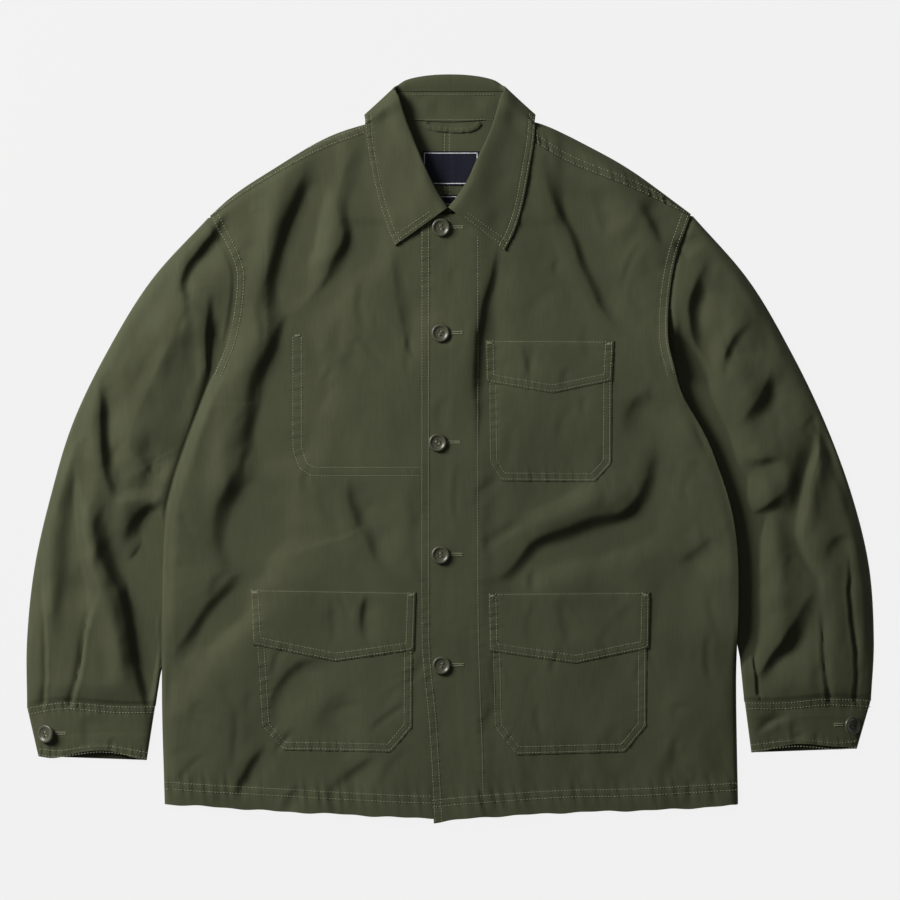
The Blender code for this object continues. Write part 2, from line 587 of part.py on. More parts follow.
# ---------------------------------------------------------------- collar
def collar_stations():
    """The whole collar's rows, from the right front end round the neck to the left one."""
    right = [np.array(row) for row in COLLAR]
    left = []
    for k, row in enumerate(right[:-1]):
        turned = row * np.array([-1, 1, -1, 1, -1, 1, 1])
        roll_shift, edge_x, edge_y = LEFT_COLLAR_SHIFTS.get(k, (0, 0, 0))
        left.append(turned + np.array([roll_shift, 0, roll_shift, 0, edge_x, edge_y, 0]))
    return right + left[::-1]


def unit(vector):
    return vector / np.linalg.norm(vector)


def offset_shell(name, mid, thickness, kind="cloth"):
    """Wall of even thickness about a curved grid of points."""
    along = np.gradient(mid, axis=0)
    across = np.gradient(mid, axis=1)
    normal = np.cross(across, along)
    normal /= np.linalg.norm(normal, axis=2, keepdims=True)
    return shell(name, mid + normal * thickness / 2, mid - normal * thickness / 2, kind)


def stand_section(row):
    neck, roll, level = row[0:2], row[2:4], row[6]
    front_top = roll + unit(neck - roll) * 2.5
    reach = min(STAND_TOP_Y, roll[1] - 4)
    back_top = neck + (roll - neck) * (reach - neck[1]) / max(roll[1] - neck[1], 1)
    top = front_top * level + back_top * (1 - level)
    top += unit(neck - roll) * 20 * level * (1 - level)
    points = []
    for share in (0.0, 0.5, 1.0):
        x, y = neck + (top - neck) * share
        front_z = top_of_fronts(x, y) - CLOTH / 2
        back_z = LEAF_RISE + CLOTH / 2
        points.append((x, y, front_z * level + back_z * (1 - level)))
    return points


def leaf_section(row):
    neck, roll, edge, level = row[0:2], row[2:4], row[4:6], row[6]
    out = unit(edge - roll)
    width = np.linalg.norm(edge - roll)
    front = [(*(roll + out * step), rise) for step, rise in LEAF_NEAR_ROLL]
    front += [(*(roll + out * width * share), rise) for share, rise in LEAF_OUTWARD]
    front = [(x, y, float(top_of_fronts(x, y)) + rise) for x, y, rise in front]
    down = unit(neck - roll)
    reach = min(STAND_TOP_Y, roll[1] - 4)
    seam = neck + (roll - neck) * (reach + 0.7 - neck[1]) / max(roll[1] - neck[1], 1)
    back = [(*seam, LEAF_RISE + CLOTH / 2)]
    room = np.linalg.norm(roll - seam)
    back += [(*(roll + down * room * share), height) for share, height in LEAF_BACK_ROLL]
    back.append((*(roll + out * LEAF_UNDER_ROLL[0]), LEAF_UNDER_ROLL[1]))
    back += [(*(roll + out * width * share), CLOTH / 2) for share, _ in LEAF_OUTWARD]
    return np.array(front) * level + np.array(back) * (1 - level)


def build_collar():
    rows = collar_stations()
    stand = np.array([stand_section(row) for row in rows])
    leaf = np.array([leaf_section(row) for row in rows])
    offset_shell("collar_stand", stand.transpose(1, 0, 2), CLOTH)
    offset_shell("collar_leaf", leaf.transpose(1, 0, 2), CLOTH)


# ---------------------------------------------------------------- what lies on the panels
def cut_from_panel(panel, corners):
    """The panel's own upper triangles inside a convex outline."""
    work = bmesh.new()
    grid = PANELS[panel]
    verts = [work.verts.new(tuple(p)) for p in grid.reshape(-1, 3)]
    for face in cell_triangles(*grid.shape[:2], None, False):
        work.faces.new([verts[v] for v in face])
    for (ax, ay), (bx, by) in zip(corners, corners[1:] + corners[:1]):
        outward = Vector((by - ay, ax - bx, 0)).normalized()
        bmesh.ops.bisect_plane(work, geom=work.verts[:] + work.edges[:] + work.faces[:], dist=0.02,
                               plane_co=(ax, ay, 0), plane_no=outward, clear_outer=True)
    bmesh.ops.triangulate(work, faces=work.faces[:])
    work.verts.index_update()
    points = np.array([tuple(v.co) for v in work.verts])
    faces = [tuple(v.index for v in face.verts) for face in work.faces]
    work.free()
    return points, faces


def build_patch(name, panel, corners, lift):
    points, faces = cut_from_panel(panel, corners)
    low = points + np.array([0, 0, lift])
    closed_wall(name, low + np.array([0, 0, PATCH]), low, faces, "cloth")


def build_pockets():
    for name, (panel, corners) in PATCHES.items():
        build_patch(name, panel, corners, PATCH_AIR)
    for name, (panel, corners) in BANDS.items():
        build_patch(name, panel, corners, 2 * PATCH_AIR + PATCH)


def flat_sheet(name, columns_x, rows_y, base, thickness, kind, sag=0.0):
    """A thin flat piece: base is its underside, sag lowers its middle towards the hem."""
    x, y = np.meshgrid(columns_x, rows_y)
    mid, half = (x[0, 0] + x[0, -1]) / 2, (x[0, -1] - x[0, 0]) / 2
    y = y - sag * (1 - ((x - mid) / half)**2)
    plan = np.dstack([x, y])
    shell(name, raised(plan, base + thickness), raised(plan, base), kind)


def build_labels():
    base = LEAF_RISE + CLOTH + PATCH_AIR
    for name, (x0, y0, x1, y1) in LABELS.items():
        flat_sheet(name, np.linspace(x0, x1, 5), np.linspace(y0, y1, 4), base, LABEL_THICKNESS, "label")
    flat_sheet("hanger_loop", np.linspace(HANGER["left"], HANGER["right"], 9),
               np.array([HANGER["top_y"] - HANGER["width"], HANGER["top_y"]]), base,
               HANGER["thickness"], "cloth", HANGER["sag"])


# ---------------------------------------------------------------- buttons
BUTTON_SIDES = 16
BUTTON_PROFILE = [(0.80, 0.0), (1.0, 0.30), (1.0, 0.62), (0.92, 1.0), (0.72, 1.0), (0.60, 0.66)]


def button_blank():
    """Turned disc with a raised rim, from shares of its radius and height."""
    work = bmesh.new()
    rings = []
    for radius, height in BUTTON_PROFILE:
        ring = []
        for k in range(BUTTON_SIDES):
            angle = 2 * math.pi * k / BUTTON_SIDES
            ring.append(work.verts.new((BUTTON_RADIUS * radius * math.cos(angle) * MM,
                                        BUTTON_RADIUS * radius * math.sin(angle) * MM,
                                        BUTTON_HEIGHT * height * MM)))
        rings.append(ring)
    work.faces.new(rings[0][::-1])
    for low, high in zip(rings, rings[1:]):
        for k in range(BUTTON_SIDES):
            nxt = (k + 1) % BUTTON_SIDES
            work.faces.new((low[k], low[nxt], high[nxt], high[k]))
    work.faces.new(rings[-1])
    mesh = bpy.data.meshes.new("button_blank")
    work.to_mesh(mesh)
    work.free()
    return mesh


def hole_cutter():
    """Four round punches for the thread holes."""
    work = bmesh.new()
    for sx in (-1, 1):
        for sy in (-1, 1):
            made = bmesh.ops.create_cone(work, cap_ends=True, segments=6, depth=3 * BUTTON_HEIGHT * MM,
                                         radius1=BUTTON_HOLE_RADIUS * MM, radius2=BUTTON_HOLE_RADIUS * MM)
            shift = Vector((sx * BUTTON_HOLE_SPACING, sy * BUTTON_HOLE_SPACING, 0)) * MM
            bmesh.ops.translate(work, verts=made["verts"], vec=shift)
    mesh = bpy.data.meshes.new("button_punch")
    work.to_mesh(mesh)
    work.free()
    cutter = bpy.data.objects.new("button_punch", mesh)
    cutter.hide_render = True
    cutter.display_type = "WIRE"
    bpy.context.scene.collection.objects.link(cutter)
    return cutter


def button_mesh():
    cutter = hole_cutter()
    blank = bpy.data.objects.new("button_blank", button_blank())
    bpy.context.scene.collection.objects.link(blank)
    cut = blank.modifiers.new("holes", "BOOLEAN")
    cut.operation = "DIFFERENCE"
    cut.solver = "EXACT"
    cut.object = cutter
    graph = bpy.context.evaluated_depsgraph_get()
    mesh = bpy.data.meshes.new_from_object(blank.evaluated_get(graph))
    bpy.data.objects.remove(blank)
    bpy.data.objects.remove(cutter)
    return mesh


def seat_button(name, mesh, x, y):
    """Stand a button on the cloth, square to it and just clear of it."""
    step = BUTTON_SLOPE_STEP
    slope_x = float(top_of_fronts(x + step, y) - top_of_fronts(x - step, y)) / (2 * step)
    slope_y = float(top_of_fronts(x, y + step) - top_of_fronts(x, y - step)) / (2 * step)
    normal = Vector((-slope_x, -slope_y, 1)).normalized()
    clear = 0.0
    centre_z = float(top_of_fronts(x, y))
    for k in range(16):
        angle = 2 * math.pi * k / 16
        for radius in (BUTTON_RADIUS, BUTTON_RADIUS / 2):
            px, py = x + radius * math.cos(angle), y + radius * math.sin(angle)
            plane = centre_z + slope_x * (px - x) + slope_y * (py - y)
            clear = max(clear, float(top_of_fronts(px, py)) - plane)
    piece = add_object(name, mesh.copy(), "button")
    piece.location = Vector((x, y, centre_z + clear + BUTTON_CLEARANCE)) * MM
    piece.rotation_mode = "QUATERNION"
    piece.rotation_quaternion = Vector((0, 0, 1)).rotation_difference(normal)


def build_buttons():
    mesh = button_mesh()
    for k, (x, y) in enumerate(FRONT_BUTTONS, 1):
        seat_button(f"button_front_{k}", mesh, x, y)
    for name, (x, y) in CUFF_BUTTONS.items():
        seat_button(name, mesh, x, y)


def main():
    for old in list(bpy.data.objects):
        bpy.data.objects.remove(old, do_unlink=True)
    build_fronts()
    for side, left in (("right", False), ("left", True)):
        build_back(f"back_{side}", left)
        build_sleeve(f"sleeve_{side}", left)
        build_cuff(f"cuff_{side}", left)
    build_collar()
    build_pockets()
    build_labels()
    build_buttons()


main()
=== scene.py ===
import json
import math

import bmesh
import bpy
import numpy as np
from mathutils import Matrix, Vector

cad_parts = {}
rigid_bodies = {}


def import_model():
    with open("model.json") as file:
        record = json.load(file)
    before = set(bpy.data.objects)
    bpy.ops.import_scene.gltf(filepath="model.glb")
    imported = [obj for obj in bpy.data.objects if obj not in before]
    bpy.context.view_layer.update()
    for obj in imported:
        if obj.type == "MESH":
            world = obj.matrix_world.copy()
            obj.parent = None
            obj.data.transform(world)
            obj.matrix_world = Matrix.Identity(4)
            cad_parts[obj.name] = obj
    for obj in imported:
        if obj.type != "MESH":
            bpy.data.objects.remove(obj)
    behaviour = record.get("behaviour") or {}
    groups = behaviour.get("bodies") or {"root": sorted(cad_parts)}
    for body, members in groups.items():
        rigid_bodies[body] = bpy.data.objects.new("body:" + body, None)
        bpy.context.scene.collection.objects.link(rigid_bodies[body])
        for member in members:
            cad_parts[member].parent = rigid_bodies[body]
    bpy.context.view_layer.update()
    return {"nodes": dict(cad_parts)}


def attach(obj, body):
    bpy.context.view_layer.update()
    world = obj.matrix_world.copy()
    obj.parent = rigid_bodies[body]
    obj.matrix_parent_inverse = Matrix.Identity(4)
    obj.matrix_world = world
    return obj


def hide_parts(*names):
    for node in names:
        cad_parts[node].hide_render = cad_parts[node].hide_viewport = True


for leftover in list(bpy.data.objects):
    bpy.data.objects.remove(leftover, do_unlink=True)
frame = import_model()
print("frame loaded:", len(frame["nodes"]), "nodes")

mm = 0.001  # the drafting below is in millimetres, meshes are in metres

# +x is the wearer's left, +y runs to the collar, z is up from the floor
clothBuild = {
    "wall": 1.5,
    "seamGap": 0.3,
    "layerAir": 0.25,
    "leastAir": 1.5,  # rounds off the air where a trough comes down to the layer below
    "overlapAir": 1.2,
    "overlapEndX": 50.0,
    "overlapRamp": 24.0,
    "bodyLoft": 6.0,
    "sleeveLoft": 13.0,
    "sleeveOverhang": 8.0,
    "sleeveRamp": 55.0,
    "sleeveEdgeShare": 0.3,
    "sleeveBroad": 26.0,
    "cuffY": -245.0,
    "cuffRamp": 30.0,
    "cuffSettle": 0.45,
    "cuffCalm": 0.7,
    "hemLoft": 0.85,
    "hemY": -400.0,
    "hemRamp": 70.0,
    "edgeRound": 15.0,
    "edgeReach": 60.0,
    "foldRamp": 12.0,
    "buttonRest": 15.0,  # the cloth is calm this far round a button
    "buttonCalm": 0.8,
    "leafRise": 1.8,
    "leafStartY": 232.0,
    "leafHalfWidth": 122.0,
    "leafRamp": 14.0,
    "patchWall": 1.0,
    "patchAir": 0.15,
    "bandSettle": 0.55,  # a pocket band's edges are pressed down by this much
    "bandRamp": 2.4,
}
curveSteps = 24  # points that a curve gets between two drafted ones
edgePoints = 60

rightSide = {
    "side": [(-300, -373), (-303, -253), (-301, -98), (-290, -32), (-261, 50), (-249, 79)],
    "armhole": [(-249, 79), (-233, 119), (-225, 171), (-229, 199), (-251.5, 243.5)],
    "shoulderSeam": [(-251.5, 243.5), (-207, 275), (-136, 314), (-67, 339)],
    "shoulderFold": [(-252.5, 245.5), (-228, 267), (-192, 291), (-127, 329), (-61, 349.5)],
    "neckFront": [(-11, 247), (-28, 262), (-44, 285), (-58, 314), (-67, 339)],
    "sleeveOuter": [(-253, 245), (-314, 178), (-361, 102), (-397, 27), (-420, -49),
                    (-437, -124), (-445, -200), (-445, -271)],
    "sleeveInner": [(-249, 79), (-261, 50), (-290, -32), (-301, -98), (-303, -211), (-310, -269)],
    "cuffSeam": [(-445, -271), (-405, -265), (-350, -269), (-310, -269)],
    "cuffHem": [(-433, -323), (-411, -325), (-365, -320), (-319, -327)],
    "frontEdge": [(13, -388), (13, -200), (13, 0), (13, 243)],
    "hem": [(-300, -373), (-204, -379), (-74, -386), (13, -388)],
}
leftSide = {
    "side": [(303, -374), (301, -253), (301, -98), (276, -4), (245, 55), (237, 79)],
    "armhole": [(237, 79), (229, 115), (230, 157), (237, 200), (252.5, 245.5)],
    "shoulderSeam": [(252.5, 245.5), (189, 275), (123, 302), (70, 335)],
    "shoulderFold": [(253.5, 247.5), (194, 291), (149, 317), (99, 341), (61, 349.5)],
    "neckFront": [(5, 247), (25, 259), (46, 283), (61, 312), (70, 335)],
    "sleeveOuter": [(254, 247), (314, 178), (359, 102), (395, 27), (423, -49),
                    (441, -124), (446, -200), (443, -263)],
    "sleeveInner": [(237, 79), (245, 55), (276, -4), (301.5, -98), (303.5, -190), (310, -265)],
    "cuffSeam": [(443, -263), (396, -261), (350, -265), (310, -265)],
    "cuffHem": [(428, -315), (405, -317), (365, -314), (317, -319)],
    "frontEdge": [(-17, -392), (-23, -290), (-29, -230), (-31, -180), (-31, 0), (-31, 245)],
    "hem": [(303, -374), (200, -380), (116, -382), (24, -388), (-17, -392)],
}

# name, path, half width on its right hand and on its left hand, height; a trough is negative
creases = [
    ("shoulder drag", [(-130, 314), (-140, 272), (-152, 234), (-162, 196), (-172, 150), (-180, 110)],
     21, 22, -14.0),
    ("neck drag", [(-86, 326), (-98, 272), (-92, 222), (-110, 186), (-132, 150), (-160, 116)],
     18, 24, -9.6),
    ("neck dimple", [(-104, 235), (-101, 200)], 10, 15, -2.6),
    ("swell between the drags", [(-120, 276), (-127, 228), (-140, 182)], 12, 12, 3.2),
    ("shoulder swell", [(-166, 292), (-184, 240), (-194, 188), (-200, 150)], 14, 14, 4.6),
    ("placket drag", [(-56, 216), (-46, 178), (-38, 140), (-34, 100)], 12, 22, -4.0),
    ("chest hollow", [(-132, 152), (-162, 116), (-174, 74), (-184, 30), (-195, -8), (-206, -40)],
     28, 36, -14.5),
    ("waist hollow", [(-204, -18), (-212, -70), (-208, -116), (-192, -150)], 30, 40, -12.0),
    ("hip drag", [(-186, -118), (-226, -160), (-262, -204), (-294, -252)], 19, 32, -8.6),
    ("belly drag", [(-101, -24), (-92, -62), (-75, -94), (-50, -138)], 11, 22, -6.2),
    ("hem ripple", [(-192, -312), (-212, -346), (-228, -376)], 8, 13, -4.6),
    ("soft hem ripple", [(-72, -330), (-121, -356)], 10, 18, -3.2),
    ("hem nick", [(-160, -352), (-168, -384)], 5, 8, -2.0),
    ("pocket slump", [(-110, -226), (-152, -240), (-174, -262), (-178, -300)], 14, 24, -4.4),
    ("pocket slump, inner", [(-98, -258), (-124, -284), (-143, -306)], 14, 20, -2.6),
    ("band drag", [(-84, -150), (-87, -180), (-84, -210)], 5, 10, -3.4),
    ("band drag, outer", [(-117, -150), (-122, -208)], 7, 12, -1.3),
    ("side swell", [(-247, 84), (-273, -32), (-289, -116), (-299, -200)], 14, 16, 2.6),
    ("chest ridge", [(-196, 150), (-216, 76), (-234, -10), (-246, -84)], 17, 17, 4.6),
    ("hip ridge", [(-190, -168), (-236, -214), (-276, -276)], 16, 16, 3.0),
    ("hip swell", [(-140, -130), (-200, -200), (-240, -300)], 26, 26, 3.2),
    ("long drag", [(102, 318), (128, 258), (149, 205), (168, 158), (198, 116)], 12, 30, -8.4),
    ("long swell", [(140, 330), (185, 262), (226, 190)], 20, 20, 4.0),
    ("shoulder nick", [(155, 279), (164, 250), (171, 222)], 9, 16, -3.0),
    ("shoulder dimple", [(198, 266), (216, 240), (228, 214)], 8, 14, -4.4),
    ("placket drag, left", [(62, 232), (53, 190), (42, 150), (36, 100), (33, 40), (34, -10)],
     8, 18, -5.6),
    ("chest drag", [(214, 64), (206, 34), (190, 4)], 18, 30, -4.6),
    ("band drag, chest", [(78, 111), (84, 92), (90, 72)], 5, 9, -1.5),
    ("waist fold", [(228, 18), (220, -28), (203, -66), (176, -86), (132, -96), (92, -110), (62, -140),
                    (36, -152)], 15, 30, -11.0),
    ("waist swell", [(222, -110), (160, -128), (90, -146)], 16, 18, 2.2),
    ("waist swell, upper", [(190, -36), (140, -60), (80, -84)], 20, 24, 4.6),
    ("side dimple", [(284, -98), (262, -112), (238, -122)], 9, 17, -3.8),
    ("pocket dimple", [(87, -122), (88, -152)], 5, 9, -2.0),
    ("pocket dimple, left", [(120, -152), (126, -206)], 8, 14, -1.4),
    ("hem drag", [(150, -300), (176, -340), (190, -372)], 12, 20, -1.8),
    ("hook at the sleeve head", [(-229, 253), (-249, 213), (-270, 186), (-276, 165), (-256, 146)],
     8, 13, -7.0),
    ("armhole crease", [(-246, 166), (-246, 118), (-250, 84), (-262, 48)], 7, 18, -8.4),
    ("sleeve head swell", [(-276, 205), (-300, 110)], 18, 18, 3.0),
    ("upper arm hollow", [(-300, 110), (-312, 60), (-322, 10)], 18, 30, -3.0),
    ("elbow drag", [(-361, 84), (-358, 40), (-358, 0), (-350, -34), (-332, -52)], 9, 22, -8.4),
    ("forearm fold", [(-364, -54), (-363, -84), (-351, -116), (-339, -146), (-330, -178),
                      (-323, -210), (-315, -244), (-309, -268)], 13, 20, -13.5),
    ("forearm swell", [(-374, -36), (-377, -90), (-367, -140), (-353, -190), (-344, -236)], 11, 11, 5.6),
    ("outer drag", [(-399, -12), (-396, -66), (-388, -118), (-383, -164), (-388, -206)], 22, 8, -12.0),
    ("forearm fold, lower", [(-326, -198), (-318, -230), (-311, -262), (-306, -286)], 12, 16, -9.0),
    ("elbow junction", [(-300, -46), (-330, -40), (-356, -52)], 26, 12, -6.8),
    ("inner elbow", [(-332, 16), (-316, -8), (-298, -40)], 9, 16, -4.0),
    ("inner elbow, lower", [(-296, -62), (-318, -78), (-340, -108)], 12, 22, -6.2),
    ("inner forearm", [(-298, -92), (-312, -104), (-340, -122)], 8, 20, -7.0),
    ("inner forearm drag", [(-302, -104), (-312, -150), (-318, -196)], 12, 12, -4.0),
    ("pleat", [(-371, -140), (-380, -184), (-388, -222), (-398, -267)], 4, 2.2, -3.0),
    ("outer pleat", [(-428, -128), (-426, -205), (-425, -267)], 4, 2.4, -2.4),
    ("outer swell", [(-400, 14), (-409, -50), (-414, -110), (-418, -170), (-421, -216)], 11, 11, 5.4),
    ("armhole hollow", [(241, 158), (246, 118), (252, 80), (268, 28), (290, -20), (300, -50)],
     9, 20, -8.0),
    ("inner sleeve hollow", [(297, -28), (303, -60), (309, -100), (309, -170), (311, -206)],
     8, 14, -8.0),
    ("sleeve head dimple", [(288, 204), (276, 172), (265, 148), (268, 122), (280, 96), (290, 68)],
     14, 20, -8.8),
    ("sleeve head nick", [(241, 223), (254, 198)], 7, 11, -3.4),
    ("sleeve head swell, left", [(300, 200), (312, 100)], 20, 20, 3.2),
    ("upper arm nick", [(322, 134), (308, 116), (298, 96), (292, 66)], 9, 20, -5.0),
    ("upper arm drag", [(342, 88), (342, 64), (336, 44), (320, 26), (304, 12)], 11, 20, -6.6),
    ("forearm fold, left", [(384, 52), (379, 10), (374, -26), (367, -66), (364, -94), (375, -118),
                            (385, -142), (386, -166)], 14, 8, -10.0),
    ("outer arm hollow", [(392, 40), (402, 0), (410, -50)], 16, 30, -5.2),
    ("forearm branch", [(390, -152), (372, -190), (353, -220), (336, -242), (316, -250)], 13, 18, -9.5),
    ("forearm swell, left", [(335, -60), (345, -170)], 15, 15, 3.6),
    ("inner elbow, left", [(362, -48), (334, -70), (308, -84)], 11, 24, -7.0),
    ("inner elbow, upper", [(352, -14), (322, -22), (298, -14)], 10, 18, -5.0),
    ("elbow dimple", [(424, -96), (404, -104), (397, -122)], 7, 10, -2.8),
    ("pleat, left", [(388, -164), (392, -212), (397, -265)], 2.2, 3.6, -2.4),
    ("inner pleat", [(313, -172), (318, -212), (324, -258)], 2.2, 3.6, -2.2),
    ("outer pleat, left", [(417, -104), (420, -158), (424, -210), (425, -266)], 2.2, 3.8, -2.6),
    ("outer swell, left", [(404, -20), (430, -130), (434, -220)], 10, 9, 2.4),
    ("cuff hollow", [(-380, -274), (-378, -320)], 9, 14, -2.8),
    ("cuff nick", [(-352, -304), (-358, -324)], 4, 6, -1.4),
    ("cuff drag", [(323, -299), (341, -285), (360, -278)], 5, 7, -3.0),
    ("cuff dip", [(362, -282), (362, -314)], 5, 8, -1.6),
]

cuffButtons = {"buttonCuffRight": (-424.0, -299.0), "buttonCuffLeft": (422.0, -290.0)}
frontButtons = [(-9.5, 233.0), (-10.0, 122.0), (-13.0, 7.0), (-10.0, -111.0), (-9.0, -227.0)]


def runLength(line):  # way along a line to each of its points
    return np.concatenate([[0], np.cumsum(np.linalg.norm(np.diff(line, axis=0), axis=1))])


def resample(line, shares):
    length = runLength(line)
    wanted = np.asarray(shares) * length[-1]
    return np.stack([np.interp(wanted, length, line[:, k]) for k in range(line.shape[1])], axis=1)


def catmullRom(knots, steps):  # works on the first axis of any grid of points
    knots = np.asarray(knots, float)
    ends = np.concatenate([2 * knots[:1] - knots[1:2], knots, 2 * knots[-1:] - knots[-2:-1]])
    t = np.linspace(0, 1, steps, endpoint=False).reshape((-1,) + (1,) * (knots.ndim - 1))
    pieces = []
    for i in range(len(knots) - 1):
        a, b, c, d = ends[i:i + 4]
        pieces.append(0.5 * (2 * b + (c - a) * t + (2 * a - 5 * b + 4 * c - d) * t**2
                             + (3 * b - a - 3 * c + d) * t**3))
    return np.concatenate(pieces + [knots[-1:]])


def smoothLine(points, count):
    return resample(catmullRom(points, curveSteps), np.linspace(0, 1, count))


def evenLine(points, step):
    line = catmullRom(points, curveSteps)
    count = max(2, int(runLength(line)[-1] / step) + 1)
    return resample(line, np.linspace(0, 1, count))


def leftNormals(line):  # unit vectors to a line's left hand
    run = np.gradient(line, axis=0)
    run /= np.linalg.norm(run, axis=1, keepdims=True)
    return np.stack([-run[:, 1], run[:, 0]], axis=1)


def ease(value):
    v = np.clip(value, 0, 1)
    return v * v * (3 - 2 * v)


def nearestOn(line, x, y, reach):
    # distance to a polyline, positive on its left hand, and length along it, within reach
    shape = x.shape
    x, y = x.reshape(-1), y.reshape(-1)
    best, where = np.full(x.shape, 1e6), np.zeros(x.shape)
    done, stretch = 0.0, 8  # a stretch of the line meets only the points that are near it
    for first in range(0, len(line) - 1, stretch):
        part = line[first:first + stretch + 1]
        low, high = part.min(axis=0) - reach, part.max(axis=0) + reach
        near = np.nonzero((x > low[0]) & (x < high[0]) & (y > low[1]) & (y < high[1]))[0]
        px, py, gap, along = x[near], y[near], best[near], where[near]
        for (ax, ay), (bx, by) in zip(part[:-1], part[1:]):
            dx, dy = bx - ax, by - ay
            length = math.hypot(dx, dy)
            share = np.clip(((px - ax) * dx + (py - ay) * dy) / length**2, 0, 1)
            far = np.hypot(px - ax - share * dx, py - ay - share * dy)
            side = np.where(dx * (py - ay) - dy * (px - ax) < 0, -1.0, 1.0)
            closer = far < np.abs(gap) - 1e-9
            gap = np.where(closer, far * side, gap)
            along = np.where(closer, done + share * length, along)
            done += length
        best[near], where[near] = gap, along
    return best.reshape(shape), where.reshape(shape)


def softNoise(x, y, wideX, wideY, seed):
    # smooth seeded noise, about -1 to 1, between the heights of a random grid
    cells, middle = 96, 40
    grid = np.random.default_rng(seed).uniform(-1, 1, (cells, cells))
    gx, gy = x / wideX + middle, y / wideY + middle
    ix, iy = np.floor(gx).astype(int), np.floor(gy).astype(int)
    fx, fy = ease(gx - ix), ease(gy - iy)
    ix, iy = ix % (cells - 1), iy % (cells - 1)
    top = grid[ix, iy] * (1 - fx) + grid[ix + 1, iy] * fx
    low = grid[ix, iy + 1] * (1 - fx) + grid[ix + 1, iy + 1] * fx
    return top * (1 - fy) + low * fy


def noiseSum(rows, x, y):  # each row is a height, a size along x, a size along y and a seed
    return sum(height * softNoise(x, y, *rest) for height, *rest in rows)


for side in (rightSide, leftSide):
    side["lines"] = {key: smoothLine(points, edgePoints) for key, points in side.items()}
foldedEdges = [side["lines"][key] for side in (rightSide, leftSide)
               for key in ("side", "shoulderFold", "sleeveOuter", "sleeveInner")]
foldedEdges += [np.array([side["cuffSeam"][end], side["cuffHem"][end]], float)
                for side in (rightSide, leftSide) for end in (0, -1)]
sleeveStarts = [smoothLine(side["side"] + side["armhole"][1:], edgePoints)
                for side in (rightSide, leftSide)]
creasePaths = [evenLine(row[1], 7) for row in creases]

wrinkleBuild = {  # the small wrinkles between the listed creases
    "seed": 77,
    "count": 230,
    "placeX": (-430, 430),
    "placeY": (-375, 320),
    "lean": 0.12,
    "leanSpread": 0.45,
    "length": (22, 70),
    "width": (3.5, 8.0),
    "depth": (0.2, 0.85),
}


def scatterMinor():
    given = wrinkleBuild
    draw = np.random.default_rng(given["seed"])
    made = []
    for _ in range(given["count"]):
        x0, y0 = draw.uniform(*given["placeX"]), draw.uniform(*given["placeY"])
        lean = draw.normal(given["lean"] * np.sign(x0), given["leanSpread"])
        length = draw.uniform(*given["length"])
        made.append((x0, y0, x0 + length * math.sin(lean), y0 - length * math.cos(lean),
                     draw.uniform(*given["width"]), -draw.uniform(*given["depth"])))
    return made


minorCreases = scatterMinor()

creaseBuild = {
    "evenBelow": 0.6,  # a crease whose half widths differ by less is the same on both sides
    "thinBelow": 6,  # a thinner one keeps its width from end to end
    "reach": 4.4,
    "wallRound": 0.02,
    "wallPower": 1.9,
    "crest": (0.16, 1.8, 0.85),  # height, place and width, as shares of depth and steep width
    "nearShare": 0.72,
    "farWidth": 1.5,
    "pleatFade": 0.25,
    "swellFade": (0.3, 0.3, 0.3),  # way in from the upper and the lower end, and least strength
    "troughFade": (0.42, 0.46, 0.06),
    "bend": [(3.2, 34, 38, 51), (0.7, 12, 15, 52)],
    "slide": [(3.6, 38, 30, 53)],
}
waveBuild = {
    "body": [(1.9, 62, 110, 3), (0.7, 22, 54, 5), (0.12, 7, 9, 6)],
    "alongEdge": [(1.5, 20, 75, 8)],  # these follow the sleeve's edges
    "sleeve": [(0.8, 15, 32, 9), (0.14, 7, 9, 10)],
    "leaf": [(1.1, 34, 42, 21), (0.4, 12, 16, 22)],
    "stand": [(0.7, 13, 15, 31)],
}


def creaseShape(gap, rightHand, leftHand):
    # a steep wall up to a crisp crest on the narrow side, a long slope on the wide one
    given = creaseBuild
    if abs(rightHand - leftHand) < given["evenBelow"]:
        return np.exp(-(gap / leftHand)**2)
    steepSign = 1.0 if leftHand < rightHand else -1.0
    steep, gentle = min(rightHand, leftHand), max(rightHand, leftHand)
    toCrest = gap * steepSign / steep
    left = 1 - toCrest
    left = 0.5 * (left + np.sqrt(left**2 + given["wallRound"]))
    wall = 1 - (1 - np.clip(left, 0, 1))**given["wallPower"]
    height, place, width = given["crest"]
    crest = height * np.exp(-((toCrest - place) / width)**2)
    away = np.abs(gap) / gentle
    tail = math.exp(-given["reach"] / given["farWidth"])  # taken off, so that the slope ends level
    far = (np.exp(-away / given["farWidth"]) - tail) / (1 - tail)
    slope = given["nearShare"] * np.exp(-away**2) + (1 - given["nearShare"]) * far
    return np.where(toCrest > 0, wall - crest, slope)


def creaseEnds(share, name, height):
    # troughs taper to points, swells fade a little at both ends and pleats at the upper one
    if "pleat" in name:
        return ease(share / creaseBuild["pleatFade"])
    upper, lower, least = creaseBuild["swellFade" if height > 0 else "troughFade"]
    return ease(share / upper + least) * ease((1 - share) / lower + least)


